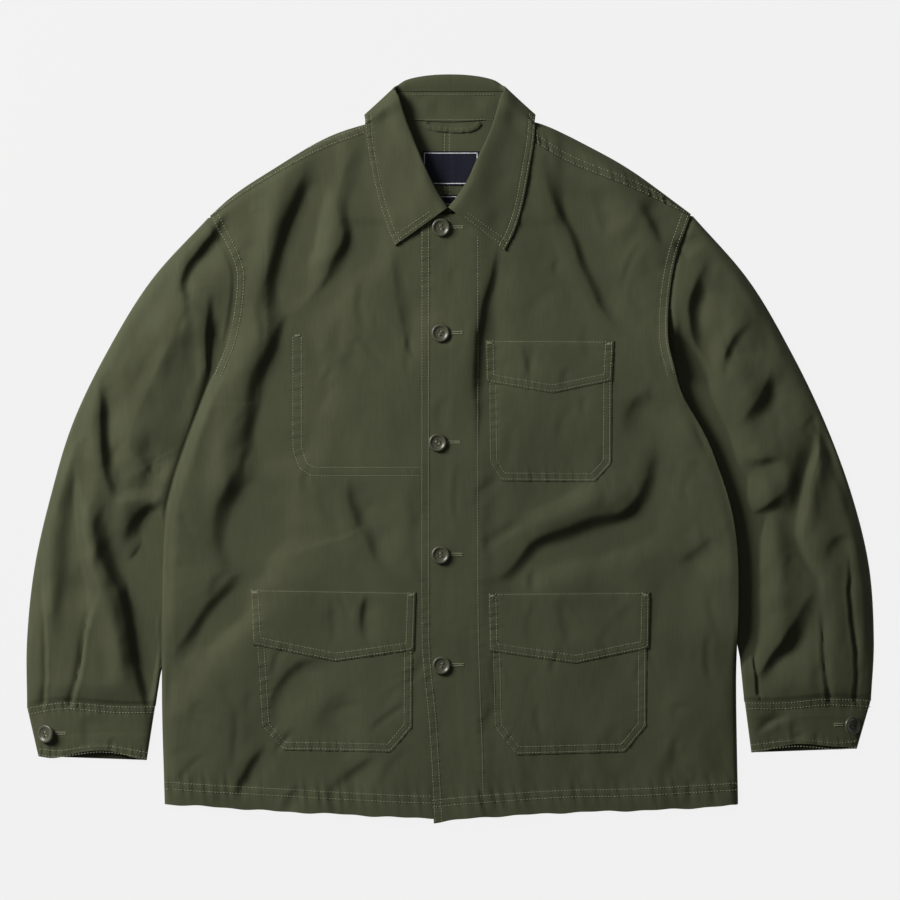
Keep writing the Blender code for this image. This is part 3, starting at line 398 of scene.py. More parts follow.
def creaseSum(x, y):
    # the field is bent by noise first, so that no crease runs quite straight or even
    reach = creaseBuild["reach"]
    x, y = x + noiseSum(creaseBuild["bend"], x, y), y + noiseSum(creaseBuild["slide"], x, y)
    total = np.zeros(x.shape)
    for (name, _, rightHand, leftHand, height), path in zip(creases, creasePaths):
        wide = max(rightHand, leftHand)
        gap, along = nearestOn(path, x, y, (reach + 0.1) * wide)
        gap = np.clip(gap, -reach * wide, reach * wide)
        ends = creaseEnds(along / runLength(path)[-1], name, height)
        swell = 1 + 0.14 * np.sin(along / 19 + height) + 0.09 * np.sin(along / 8.3 + rightHand)
        grow = 0.62 + 0.46 * np.sqrt(np.clip(ends, 0, 1)) + 0.12 * np.sin(along / 26 + rightHand)
        if wide < creaseBuild["thinBelow"]:
            grow = 1.0
        total += height * ends * swell * creaseShape(gap / grow, rightHand, leftHand)
    for x0, y0, x1, y1, wide, height in minorCreases:  # each has a low rise beside it
        dx, dy = x1 - x0, y1 - y0
        share = ((x - x0) * dx + (y - y0) * dy) / (dx * dx + dy * dy)
        aside = ((x - x0) * dy - (y - y0) * dx) / math.hypot(dx, dy) / wide - np.sin(3.1 * share)
        close = np.exp(-((share - 0.5) / 0.36)**4)
        total += height * close * (np.exp(-aside**2) - 0.5 * np.exp(-(aside - 1.5)**2))
    return total


def nearButtons(x, y):  # 1 round a button, 0 away from it
    total = np.zeros(x.shape)
    for bx, by in frontButtons + list(cuffButtons.values()):
        total += np.exp(-(((x - bx)**2 + (y - by)**2) / clothBuild["buttonRest"]**2)**2)
    return np.clip(total, 0, 1)


def edgeDistance(x, y):
    best = np.full(x.shape, clothBuild["edgeReach"])
    for line in foldedEdges:
        best = np.minimum(best, np.abs(nearestOn(line, x, y, clothBuild["edgeReach"])[0]))
    return best


def sleeveShare(x, y):  # 0 on the body, 1 on a sleeve
    share = np.zeros(x.shape)
    for line in sleeveStarts:
        start = np.interp(y, line[:, 1], np.abs(line[:, 0])) - clothBuild["sleeveOverhang"]
        sameSide = np.sign(line[0, 0]) * x > 0
        share = np.where(sameSide, ease((np.abs(x) - start) / clothBuild["sleeveRamp"]), share)
    return share


def airUnder(x, y):
    given = clothBuild
    edge = edgeDistance(x, y)
    rounding = np.sqrt(1 - (1 - np.clip(edge / given["edgeRound"], 0, 1))**2)
    sleeve = sleeveShare(x, y)
    broad = 1 - np.exp(-edge / given["sleeveBroad"])
    cuff = ease((given["cuffY"] - y) / given["cuffRamp"]) * sleeve
    sleeveLoft = given["sleeveLoft"] * (1 - given["cuffSettle"] * cuff)
    fromEdge = given["sleeveEdgeShare"]
    loft = (given["bodyLoft"] * rounding * (1 - sleeve)
            + sleeveLoft * (fromEdge * rounding + (1 - fromEdge) * broad) * sleeve)
    hem = given["hemLoft"] + (1 - given["hemLoft"]) * ease((y - given["hemY"]) / given["hemRamp"])
    armWave = noiseSum(waveBuild["alongEdge"], edge, y) + noiseSum(waveBuild["sleeve"], x, y)
    wave = noiseSum(waveBuild["body"], x, y) * (1 - sleeve) + armWave * sleeve
    folds = creaseSum(x, y) + wave * (1 - given["cuffCalm"] * cuff)
    folds *= 1 - given["buttonCalm"] * nearButtons(x, y)
    height = loft * np.where(sleeve > 0.5, 1, hem) + folds * ease(edge / given["foldRamp"])
    return given["layerAir"] + 0.5 * (height + np.sqrt(height**2 + given["leastAir"]))


def overlapRise(x):  # the left front lies on the right one's edge
    rise = clothBuild["wall"] + clothBuild["overlapAir"]
    return rise * ease((clothBuild["overlapEndX"] - x) / clothBuild["overlapRamp"])


def leafRise(x, y):  # the back lies higher where the collar's leaf is under it
    ramp = clothBuild["leafRamp"]
    up, inwards = y - clothBuild["leafStartY"], clothBuild["leafHalfWidth"] - np.abs(x)
    return clothBuild["leafRise"] * ease(up / ramp) * ease(inwards / ramp)


def offsetLine(line, gap):  # a polyline moved to its left hand, with loops at corners dropped
    moved = line + leftNormals(line) * gap
    away, _ = nearestOn(line, moved[:, 0], moved[:, 1], abs(gap) + 5)
    return moved[np.abs(away) > abs(gap) - 0.25]


def cornered(points, step=1.5, rounding=3):  # straight runs with slightly rounded corners
    line = np.array(points, float)
    line = resample(line, np.linspace(0, 1, int(runLength(line)[-1] / step) + 1))
    for _ in range(rounding):
        line[1:-1] = (line[:-2] + 2 * line[1:-1] + line[2:]) / 4
    return line


# patch pockets, and the bands on them, which are layer 2
patches = {
    "chestPocket": {"panel": "frontLeft", "node": "chest_pocket", "layer": 1,
                    "left": [(41, -13), (40, 112)], "right": [(169.5, -15), (170, 112)],
                    "bottom": [(41, -13), (53, -33), (152, -34), (169.5, -15)],
                    "top": [(40, 112), (170, 112)], "flat": (0.130, 0.146)},
    "chestPocketBand": {"panel": "frontLeft", "node": "chest_pocket_band", "layer": 2,
                        "left": [(38, 71), (37, 115)], "right": [(170, 72), (172, 114)],
                        "bottom": [(38, 71), (108, 59), (170, 72)],
                        "top": [(37, 115), (172, 114)], "flat": (0.135, 0.056)},
    "hipPocketLeft": {"panel": "frontLeft", "node": "hip_pocket_left", "layer": 1,
                      "left": [(46, -292), (43, -153)], "right": [(206, -291), (207, -153)],
                      "bottom": [(46, -292), (69, -321), (184, -318), (206, -291)],
                      "top": [(43, -153), (207, -153)], "flat": (0.164, 0.168)},
    "hipPocketLeftBand": {"panel": "frontLeft", "node": "hip_pocket_left_band", "layer": 2,
                          "left": [(41.5, -212), (40, -151)], "right": [(209, -209), (210, -150)],
                          "bottom": [(41.5, -212), (132, -225), (209, -209)],
                          "top": [(40, -151), (210, -150)], "flat": (0.170, 0.075)},
    "hipPocketRight": {"panel": "frontRight", "node": "hip_pocket_right", "layer": 1,
                       "left": [(-198, -292), (-207, -150)], "right": [(-40, -292), (-39, -152)],
                       "bottom": [(-198, -292), (-176, -316), (-62, -318), (-40, -292)],
                       "top": [(-207, -150), (-39, -152)], "flat": (0.168, 0.168)},
    "hipPocketRightBand": {"panel": "frontRight", "node": "hip_pocket_right_band", "layer": 2,
                           "left": [(-207, -205), (-210, -147)], "right": [(-38, -211), (-36, -150)],
                           "bottom": [(-207, -205), (-121, -223), (-38, -211)],
                           "top": [(-210, -147), (-36, -150)], "flat": (0.174, 0.076)},
}

seamBuild = {
    "ripples": [(0.5, 1.0), (0.32, 0.63), (0.3, 2.3)],  # strength and length of each pucker wave
    "gain": 1.5,
    "reach": 26,
    "unevenness": 0.5,
    "groove": (0.28, 1.7),  # depth and half width of the dent under a row
    "foldEdge": 1.4,  # the folded-in edge ends this far past the last row
    "foldRamp": 2.2,
}
seams = []


def patchSides(patch):  # down the left side, along the bottom and up the right side
    return patch["left"][::-1] + patch["bottom"][1:] + patch["right"][1:]


# a seam runs along an edge, and its rows of stitches are set in from that edge
def addSeam(piece, line, rows, ripple=0.3, wave=9.0, skew=0.2, step=0.0, spread=6.8):
    line = np.asarray(line, float)
    coarse = resample(line, np.linspace(0, 1, max(3, len(line) // 3)))
    seams.append({"piece": piece, "line": line, "coarse": coarse, "rows": rows, "ripple": ripple,
                  "wave": wave, "skew": skew, "step": step, "spread": spread, "seed": len(seams)})


def draftSeams():
    hemSewing = {"ripple": 1.15, "wave": 12.0, "step": 0.5, "spread": 13.0}
    addSeam("frontRight", evenLine(rightSide["hem"][:3] + [(-14, -388)], 1.5), (16.0, 23.0),
            **hemSewing)
    addSeam("frontLeft", evenLine(leftSide["hem"][::-1], 1.5), (16.0, 23.0), **hemSewing)
    addSeam("frontLeft", evenLine(leftSide["frontEdge"], 1.5), (-1.8, -8.6), ripple=0.45, wave=8.0,
            step=0.35)
    addSeam("frontLeft", evenLine([(29.4, 224), (29.4, -132), (31.5, -250), (34, -315), (35, -362)],
                                  1.5), (0.0,), ripple=0.22, wave=11.0)
    addSeam("frontRight", evenLine(rightSide["armhole"], 1.5), (-2.0, -8.4), ripple=0.45, step=0.5)
    addSeam("frontLeft", evenLine(leftSide["armhole"], 1.5), (2.0, 8.4), ripple=0.45, step=0.5)
    for piece, side, sign in (("backRight", rightSide, 1), ("backLeft", leftSide, -1)):
        addSeam(piece, evenLine(side["shoulderSeam"], 1.5), (1.8 * sign, 7.6 * sign), ripple=1.2,
                wave=8.5, skew=0.9)
    innerPocket = cornered([(-165, 119), (-165, 0), (-158, -20), (-146, -28), (-29, -28)])
    addSeam("frontRight", innerPocket, (0.0, 8.8), ripple=0.4, wave=10.0, skew=0.1)
    for name, patch in patches.items():
        around = cornered(patchSides(patch))
        if patch["layer"] == 1:
            addSeam(name, around, (1.7, 8.0), ripple=0.5, step=0.12)
        else:
            addSeam(name, around, (1.7, 8.2), ripple=0.62, wave=7.0, step=0.2)
            addSeam(name, cornered(patch["top"][::-1]), (1.8,), ripple=0.14)
    for piece, side, sign in (("cuffRight", rightSide, 1), ("cuffLeft", leftSide, -1)):
        addSeam(piece, evenLine(side["cuffSeam"], 1.5), (-1.8 * sign, -7.8 * sign), ripple=0.75,
                wave=8.0, step=0.3)
        addSeam(piece, evenLine(side["cuffHem"], 1.5), (1.8 * sign, 8.0 * sign), ripple=0.7,
                wave=8.0, step=0.3)
    addSeam("backNeck", evenLine([(-3.1, 341), (-3.1, 262)], 1.5), (-2.4, 2.4), ripple=0.2, wave=10.0)


def seamRelief(x, y, piece):
    total = np.zeros(x.shape)
    for seam in [one for one in seams if one["piece"] == piece]:
        mid = sum(seam["rows"]) / len(seam["rows"])
        gap, along = nearestOn(seam["coarse"], x, y, abs(mid) + seamBuild["reach"])
        phases = np.random.default_rng(100 + seam["seed"]).uniform(0, 6.28, 3)
        run = (along + seam["skew"] * gap) * 2 * math.pi
        ripple = sum(strong * np.sin(run / (seam["wave"] * long) + phase)
                     for (strong, long), phase in zip(seamBuild["ripples"], phases))
        uneven = 0.65 + seamBuild["unevenness"] * softNoise(along, gap * 0, 30, 10, seam["seed"])
        fade = np.exp(-((gap - mid) / seam["spread"])**2)
        total += seamBuild["gain"] * seam["ripple"] * ripple * uneven * fade
        depth, width = seamBuild["groove"]
        for row in seam["rows"]:
            total -= depth * np.exp(-((gap - row) / width)**2)
        if seam["step"]:
            last = max(seam["rows"], key=abs)
            within = abs(last) + seamBuild["foldEdge"] - gap * (1 if last > 0 else -1)
            total += seam["step"] * ease(within / seamBuild["foldRamp"])
    return total


# the fronts' side edges lie on the sleeves: how high, the way in over which that ends, and how
# square the edge stays
sideLift = {
    "frontLeft": {"rise": 6.6, "reach": 62.0, "square": 0.9},
    "frontRight": {"rise": 1.6, "reach": 20.0, "square": 0.0},
    "lowY": -236.0,
    "highY": 160.0,
    "ramp": 60.0,
}


def plainTop(x, y, panel):  # upper side of a panel, without its own sewing
    top = 2 * clothBuild["wall"] + airUnder(x, y) + leafRise(x, y)
    if panel in sideLift:
        given, ramp = sideLift[panel], sideLift["ramp"]
        start = sleeveStarts[1 if panel == "frontLeft" else 0]
        gap = np.abs(nearestOn(start, x, y, given["reach"] + 10)[0])
        along = ease((y - sideLift["lowY"]) / ramp) * ease((sideLift["highY"] - y) / ramp)
        rounded = 1 - np.sqrt(1 - (1 - np.clip(gap / clothBuild["edgeRound"], 0, 1))**2)
        lift = given["rise"] * (1 - ease(gap / given["reach"]))
        top = top + along * (lift + given["square"] * clothBuild["bodyLoft"] * rounded)
    return top + overlapRise(x) if panel == "frontLeft" else top


def topOf(x, y, piece):
    x, y = np.asarray(x, float), np.asarray(y, float)
    relief = seamRelief(x, y, piece)
    if piece in patches:
        patch = patches[piece]
        lift = patch["layer"] * (clothBuild["patchAir"] + clothBuild["patchWall"])
        if patch["layer"] == 2:
            outline = np.array(patchSides(patch) + patch["top"][:1], float)
            gap = np.abs(nearestOn(outline, x, y, 8)[0])
            lift = lift - clothBuild["bandSettle"] * (1 - ease(gap / clothBuild["bandRamp"]))
        return plainTop(x, y, patch["panel"]) + lift + relief
    if piece == "backNeck":
        ridge = 1.6 * np.exp(-((nearestOn(neckRidge, x, y, 40)[0]) / 8.0)**2)
        return clothBuild["wall"] + leafRise(x, y) + ridge + relief
    return plainTop(x, y, piece) + relief


neckRidge = evenLine([(16, 338), (34, 326), (58, 312)], 4)  # a soft fold inside the back's neck


def gridFaces(rows, columns, keep=None, ring=False):
    j, i = np.meshgrid(np.arange(rows - 1), np.arange(columns if ring else columns - 1), indexing="ij")
    a = j * columns + i
    b = j * columns + (i + 1) % columns
    faces = np.stack([a, b, b + columns, a + columns], axis=-1).reshape(-1, 4)
    return faces if keep is None else faces[keep.reshape(-1)]


def closedWall(outer, inner, faces):
    # closed body between two grids that share the quads of the outer one
    used, place = np.unique(faces, return_inverse=True)
    front = place.reshape(faces.shape)
    count = len(used)
    sides = np.concatenate([front[:, [k, (k + 1) % 4]] for k in range(4)])
    key = sides[:, 0] * count + sides[:, 1]
    border = sides[~np.isin(sides[:, 1] * count + sides[:, 0], key)]
    rim = np.stack([border[:, 1], border[:, 0], border[:, 0] + count, border[:, 1] + count], axis=1)
    points = np.vstack([outer.reshape(-1, 3)[used], inner.reshape(-1, 3)[used]])
    return points, np.vstack([front, front[:, ::-1] + count, rim])


def addObject(name, data):
    made = bpy.data.objects.new(name, data)
    bpy.context.scene.collection.objects.link(made)
    return made


def addPiece(name, points, faces, material):
    mesh = bpy.data.meshes.new(name)
    mesh.from_pydata((np.asarray(points) * mm).tolist(), [], np.asarray(faces).tolist())
    mesh.materials.append(material)
    mesh.shade_smooth()
    mesh.set_sharp_from_angle(angle=math.radians(55))
    return addObject(name, mesh)


def shellPiece(name, outer, inner, material, keep=None, ring=False):
    faces = gridFaces(*outer.shape[:2], keep, ring)
    return addPiece(name, *closedWall(outer, inner, faces), material)


def coons(bottom, top, left, right, u, v):
    u, v = u[None, :, None], v[:, None, None]
    across = (1 - v) * bottom[None] + v * top[None]
    along = (1 - u) * left[:, None] + u * right[:, None]
    corners = ((1 - u) * (1 - v) * bottom[0] + u * (1 - v) * bottom[-1]
               + (1 - u) * v * top[0] + u * v * top[-1])
    return across + along - corners


def raised(plan, height):
    return np.dstack([plan, np.broadcast_to(height, plan.shape[:2])])


def lengthShares(line):
    length = runLength(line)
    return length / length[-1]


clothLook = {
    "base": (0.0585, 0.0635, 0.0345),
    "shade": (0.0450, 0.0495, 0.0262),
    "weavePitch": 0.0011,
    "weaveDepth": 0.05,
    "roughness": 0.88,
    "sheen": 0.03,
}
buttonLook = {
    "base": (0.074, 0.076, 0.048),
    "vein": (0.042, 0.044, 0.028),
    "veinScale": 160,
    "veinBend": 1.4,
    "roughness": 0.36,
}
labelLook = {
    "base": (0.0055, 0.0062, 0.0150),
    "border": (0.52, 0.53, 0.56),
    "borderRoughness": 0.7,
    "weavePitch": 0.0007,
    "weaveDepth": 0.04,
    "roughness": 0.6,
    "sheen": 0.0,
}
threadLook = {"base": (0.190, 0.198, 0.126), "roughness": 0.6}
weaveLook = {
    "slope": 0.8,  # of the twill lines
    "slubScale": 900,
    "patchSize": 0.06,
    "patchRange": (0.35, 0.68),
    "patches": 0.55,
    "grain": 0.35,
    "streakScale": (430.0, 40.0),
    "streaks": 1.1,
    "reliefDepth": 0.0004,
}


def socketTo(tree, value, target):
    if hasattr(value, "is_linked"):
        tree.links.new(value, target)
    else:
        target.default_value = value


def mixColour(tree, factor, first, second):
    node = tree.nodes.new("ShaderNodeMix")
    node.data_type = "RGBA"
    socketTo(tree, factor, node.inputs[0])
    socketTo(tree, first if hasattr(first, "is_linked") else (*first, 1), node.inputs[6])
    socketTo(tree, second if hasattr(second, "is_linked") else (*second, 1), node.inputs[7])
    return node.outputs[2]


def mathNode(tree, operation, *values):
    node = tree.nodes.new("ShaderNodeMath")
    node.operation = operation
    for k, value in enumerate(values):
        socketTo(tree, value, node.inputs[k])
    return node.outputs[0]


def newGroup(name, inputs, outputs):
    group = bpy.data.node_groups.new(name, "ShaderNodeTree")
    for title, kind, value in inputs:
        made = group.interface.new_socket(title, in_out="INPUT", socket_type=kind)
        made.default_value = value
    for title, kind in outputs:
        group.interface.new_socket(title, in_out="OUTPUT", socket_type=kind)
    return group, group.nodes.new("NodeGroupInput"), group.nodes.new("NodeGroupOutput")


def noiseNode(tree, vector, scale, detail):
    node = tree.nodes.new("ShaderNodeTexNoise")
    node.inputs["Detail"].default_value = detail
    socketTo(tree, scale, node.inputs["Scale"])
    tree.links.new(vector, node.inputs["Vector"])
    return node


def makeWeaveGroup():
    # diagonal twill lines with slubs, soft patches of tone and long faint streaks down the cloth
    group, given, put = newGroup(
        "twillWeave",
        [("Pitch", "NodeSocketFloat", 0.001), ("Patch Size", "NodeSocketFloat", 0.05),
         ("Base", "NodeSocketColor", (0.1, 0.1, 0.1, 1)), ("Shade", "NodeSocketColor", (0, 0, 0, 1))],
        [("Color", "NodeSocketColor"), ("Height", "NodeSocketFloat")])
    place = group.nodes.new("ShaderNodeTexCoord").outputs["Object"]
    split = group.nodes.new("ShaderNodeSeparateXYZ")
    group.links.new(place, split.inputs[0])
    x, y = split.outputs[0], split.outputs[1]
    across = mathNode(group, "ADD", x, mathNode(group, "MULTIPLY", y, weaveLook["slope"]))
    turns = mathNode(group, "DIVIDE", across, given.outputs["Pitch"])
    line = mathNode(group, "SINE", mathNode(group, "MULTIPLY", turns, 2 * math.pi))
    slub = noiseNode(group, place, weaveLook["slubScale"], 2).outputs[0]
    height = mathNode(group, "ADD", mathNode(group, "MULTIPLY", line, 0.5), slub)
    group.links.new(height, put.inputs["Height"])
    patchScale = mathNode(group, "DIVIDE", 1.0, given.outputs["Patch Size"])
    tone = noiseNode(group, place, patchScale, 3).outputs[0]
    soft = group.nodes.new("ShaderNodeMapRange")
    group.links.new(tone, soft.inputs["Value"])
    for name, limit in zip(("From Min", "From Max"), weaveLook["patchRange"]):
        soft.inputs[name].default_value = limit
    stretched = group.nodes.new("ShaderNodeCombineXYZ")
    for k, axis in enumerate((x, y)):
        wide = mathNode(group, "MULTIPLY", axis, weaveLook["streakScale"][k])
        group.links.new(wide, stretched.inputs[k])
    streak = noiseNode(group, stretched.outputs[0], 1.0, 2).outputs[0]
    share = mathNode(group, "MULTIPLY", soft.outputs[0], weaveLook["patches"])
    for noise, strength in ((slub, weaveLook["grain"]), (streak, weaveLook["streaks"])):
        even = mathNode(group, "SUBTRACT", noise, 0.5)
        share = mathNode(group, "ADD", share, mathNode(group, "MULTIPLY", even, strength))
    mixed = mixColour(group, share, given.outputs["Base"], given.outputs["Shade"])
    group.links.new(mixed, put.inputs["Color"])
    return group


weaveGroup = makeWeaveGroup()


def newMaterial(name, colour, roughness):
    material = bpy.data.materials.new(name)
    material.use_nodes = True
    shader = material.node_tree.nodes["Principled BSDF"]
    shader.inputs["Base Color"].default_value = (*colour, 1)
    shader.inputs["Roughness"].default_value = roughness
    return material, material.node_tree, shader


def wovenMaterial(name, look):
    material, tree, shader = newMaterial(name, look["base"], look["roughness"])
    shader.inputs["Sheen Weight"].default_value = look["sheen"]
    shader.inputs["Sheen Roughness"].default_value = 0.5
    shader.inputs["Specular IOR Level"].default_value = 0.18
    weave = tree.nodes.new("ShaderNodeGroup")
    weave.node_tree = weaveGroup
    weave.inputs["Pitch"].default_value = look["weavePitch"]
    weave.inputs["Patch Size"].default_value = weaveLook["patchSize"]
    if "shade" in look:  # a cloth without one keeps a single colour
        weave.inputs["Base"].default_value = (*look["base"], 1)
        weave.inputs["Shade"].default_value = (*look["shade"], 1)
        tree.links.new(weave.outputs["Color"], shader.inputs["Base Color"])
    relief = tree.nodes.new("ShaderNodeBump")
    relief.inputs["Strength"].default_value = look["weaveDepth"]
    relief.inputs["Distance"].default_value = weaveLook["reliefDepth"]
    tree.links.new(weave.outputs["Height"], relief.inputs["Height"])
    tree.links.new(relief.outputs["Normal"], shader.inputs["Normal"])
    return material


def makeButtonMaterial():
    material, tree, shader = newMaterial("buttonHorn", buttonLook["base"], buttonLook["roughness"])
    place = tree.nodes.new("ShaderNodeTexCoord").outputs["Object"]
    vein = noiseNode(tree, place, buttonLook["veinScale"], 4)
    vein.inputs["Distortion"].default_value = buttonLook["veinBend"]
    mixed = mixColour(tree, vein.outputs[0], buttonLook["base"], buttonLook["vein"])
    tree.links.new(mixed, shader.inputs["Base Color"])
    return material


twill = wovenMaterial("cottonTwill", clothLook)
labelCloth = wovenMaterial("labelWeave", labelLook)
thread, _, _ = newMaterial("sewingThread", threadLook["base"], threadLook["roughness"])
labelBorder, _, _ = newMaterial("labelBorderThread", labelLook["border"],
                                labelLook["borderRoughness"])
buttonHorn = makeButtonMaterial()
print("materials made")


draftSeams()
frontBuild = {
    "length": 740,
    "rowStep": 2.5,
    "shoulderColumns": 80,
    "neckColumns": 44,
    "shoulderPart": 0.62,
    "seamInset": (0.08, -0.15),
    "hemWaves": [(0.5, 11, 0.0), (0.4, 5.3, 1.3), (0.35, 23, 0.0)],  # height, length and phase
    "turnRamp": 20,
    "turnIn": 1.2,
    "edgeDip": 0.35,
    "frontRight": {"node": "front_right", "flat": (0.320, 0.740), "area": 0.197},
    "frontLeft": {"node": "front_left", "flat": (0.340, 0.745), "area": 0.209},
}
pieces = {}


def draft(side, key, left):
    line = smoothLine(side[key], 160)
    return line * np.array([-1.0, 1.0]) if left else line


def laid(plan, left):  # the left side is drafted as a right one and turned over here
    if not left:
        return plan
    turned = plan[:, ::-1].copy()
    turned[..., 0] *= -1
    return turned


def acrossShares():
    part = frontBuild["shoulderPart"]
    shoulder = np.linspace(0, part, frontBuild["shoulderColumns"])
    return np.concatenate([shoulder, np.linspace(part, 1, frontBuild["neckColumns"])[1:]])


def sideBorder(side, left, rows, gap):
    armhole = draft(side, "armhole", left)
    armhole = armhole - leftNormals(armhole) * gap
    border = np.vstack([draft(side, "side", left)[:-1], armhole])
    return resample(border, np.linspace(0, 1, rows))


def buildFront(name, side, left):
    given, flip = frontBuild, -1 if left else 1
    shares = acrossShares()
    border = sideBorder(side, left, int(given["length"] / given["rowStep"]), clothBuild["seamGap"] / 2)
    levels = lengthShares(border)
    edge = resample(draft(side, "frontEdge", left), levels)
    seam = resample(draft(side, "shoulderSeam", left), np.linspace(0, 1, given["shoulderColumns"]))
    neck = np.vstack([draft(side, "neckFront", left)[::-1], edge[-1:]])
    neck = resample(neck, np.linspace(0, 1, given["neckColumns"]))
    top = np.vstack([seam + np.array(given["seamInset"]), neck[1:]])
    bottom = resample(draft(side, "hem", left), shares)
    x = bottom[:, 0] * flip
    bottom[:, 1] += sum(high * np.sin(x / long + phase) for high, long, phase in given["hemWaves"])
    border[0], border[-1], edge[0] = bottom[0], top[0], bottom[-1]
    plan = laid(coons(bottom, top, border, edge, shares, levels), left)
    outer = raised(plan, topOf(plan[..., 0], plan[..., 1], name))
    inner = outer - np.array([0, 0, clothBuild["wall"]])
    # the side edge turns under to meet the back
    column = -1 if left else 0
    turned = [outer[:, column].copy(), inner[:, column].copy()]
    down = ease((side["armhole"][0][1] - turned[0][:, 1]) / given["turnRamp"])
    for line in turned:
        line[:, 2] = line[:, 2] * (1 - down) + 0.1 * down
    turned[1][:, 0] += given["turnIn"] * flip * down
    outer[:, column, 2] -= given["edgeDip"] * down
    walls = []
    for line, grid in zip(turned, (outer, inner)):
        both = (grid, line[:, None]) if left else (line[:, None], grid)
        walls.append(np.concatenate(both, axis=1))
    pieces[name] = shellPiece(name, *walls, twill)


buildFront("frontRight", rightSide, False)
buildFront("frontLeft", leftSide, True)
print("fronts made")


backBuild = {
    "hemY": -383.0,
    "neckHalf": 61.0,
    "neckY": 343.5,
    "neckRise": 6.0,
    "centreGap": 0.01,
    "sideGap": 0.9,
    "setIn": 0.8,
    "seamInset": (-0.08, 0.15),
    "inward": (0.45, -0.9),  # from the shoulder's fold to the body
    "foldInset": 2.4,
    "innerFold": 0.42,  # the fold's radius inside, as a share of the one outside
    "neckRelief": (300, 20, 70, 8),  # y where it begins, its ramp, half width and that ramp
    "flatRows": 70,
    "foldRows": 6,
    "flapRows": 7,
    "backRight": {"node": "back_right", "flat": (0.320, 0.745), "area": 0.212},
    "backLeft": {"node": "back_left", "flat": (0.320, 0.745), "area": 0.212},
}


def buildBack(name, side, left):
    given, wall, columns = backBuild, clothBuild["wall"], frontBuild["shoulderColumns"]
    shares = acrossShares()
    border = sideBorder(side, left, given["flatRows"], given["sideGap"])
    border[:, 0] += given["setIn"]
    levels = lengthShares(border)
    middleX = -given["centreGap"]
    centre = np.stack([np.full(len(levels), middleX),
                       given["hemY"] + levels * (given["neckY"] - given["hemY"])], axis=1)
    fold = resample(draft(side, "shoulderFold", left), np.linspace(0, 1, columns))
    seam = resample(draft(side, "shoulderSeam", left), np.linspace(0, 1, columns))
    seam = seam + np.array(given["seamInset"])
    neckX = np.linspace(-given["neckHalf"], middleX, frontBuild["neckColumns"])[1:]
    neckY = given["neckY"] + given["neckRise"] * (neckX / given["neckHalf"])**2
    inward = np.array(given["inward"])
    start = fold + inward * given["foldInset"]
    innerFold = np.vstack([border[-1:], start[1:]])
    top = np.vstack([innerFold, np.stack([neckX, neckY], axis=1)])
    bottom = border[0] + (np.array([middleX, given["hemY"]]) - border[0]) * shares[:, None]
    flat = coons(bottom, top, border, centre, shares, levels)
    sign = np.array([-1.0, 1.0]) if left else np.array([1.0, 1.0])
    x, y = (flat * sign)[..., 0], (flat * sign)[..., 1]
    reliefY, rampY, reliefX, rampX = given["neckRelief"]
    share = ease((y - reliefY) / rampY) * ease((reliefX - np.abs(x)) / rampX)
    base = leafRise(x, y)
    relief = (topOf(x, y, "backNeck") - wall - base) * share
    outer, inner = [raised(flat, base + relief * share)], [raised(flat, wall + base + relief)]

    def extend(grid, plan, z):  # past the shoulder the neck's columns all stand at its end
        plan = np.vstack([plan, np.repeat(plan[-1:], len(neckX), axis=0)])
        z = np.concatenate([z, np.repeat(z[-1:], len(neckX))])
        grid.append(raised(plan[None], z[None]))

    foldX, foldY = (fold * sign).T
    topZ, base = plainTop(foldX, foldY, name), leafRise(foldX, foldY)
    for k in range(1, given["foldRows"] + 1):
        turn = math.pi * (k / given["foldRows"] - 0.5)
        for grid, radius in ((outer, 1.0), (inner, given["innerFold"])):
            depth = given["foldInset"] * (1 - radius * math.cos(turn))
            z = (base + topZ) / 2 + (topZ - base) / 2 * radius * math.sin(turn)
            extend(grid, fold + inward * depth, z)
    for k in range(1, given["flapRows"] + 1):
        plan = start + (seam - start) * k / given["flapRows"]
        z = topOf(*(plan * sign).T, name)
        extend(outer, plan, z)
        extend(inner, plan, z - wall)
    outer, inner = np.concatenate(outer), np.concatenate(inner)
    keep = np.ones((outer.shape[0] - 1, outer.shape[1] - 1), bool)
    keep[len(flat) - 1:, columns - 1:] = False
    if left:
        outer[..., 0] *= -1
        inner[..., 0] *= -1
    else:
        outer, inner, keep = outer[:, ::-1], inner[:, ::-1], keep[:, ::-1]
    pieces[name] = shellPiece(name, outer, inner, twill, keep=keep)


buildBack("backRight", rightSide, False)
buildBack("backLeft", leftSide, True)
print("backs made")


sleeveBuild = {
    "columns": 84,
    "rows": 225,
    "underColumns": 16,
    "tuck": 2.2,  # the sleeve's head goes this far under the front
    "tuckRamp": 6.5,
    "edgeOverlap": 0.6,
    "cuffDrop": 1.6,
    "cuffTuck": 0.6,
    "cuffTuckRamp": 3.4,
    "press": 2.4,  # how far the body pushes the inner edge away
    "pressY": -40,
    "pressRamp": 60,
    "leaveRamp": 26,
    "hollowWide": 46,
    "hollowY": -240,
    "hollowRamp": 40,
    "sleeveRight": {"node": "sleeve_right", "flat": (0.420, 0.560), "area": 0.170, "leaves": 215,
                    "hollow": 3.0},
    "sleeveLeft": {"node": "sleeve_left", "flat": (0.420, 0.560), "area": 0.170, "leaves": 196,
                   "hollow": 9.0},
}


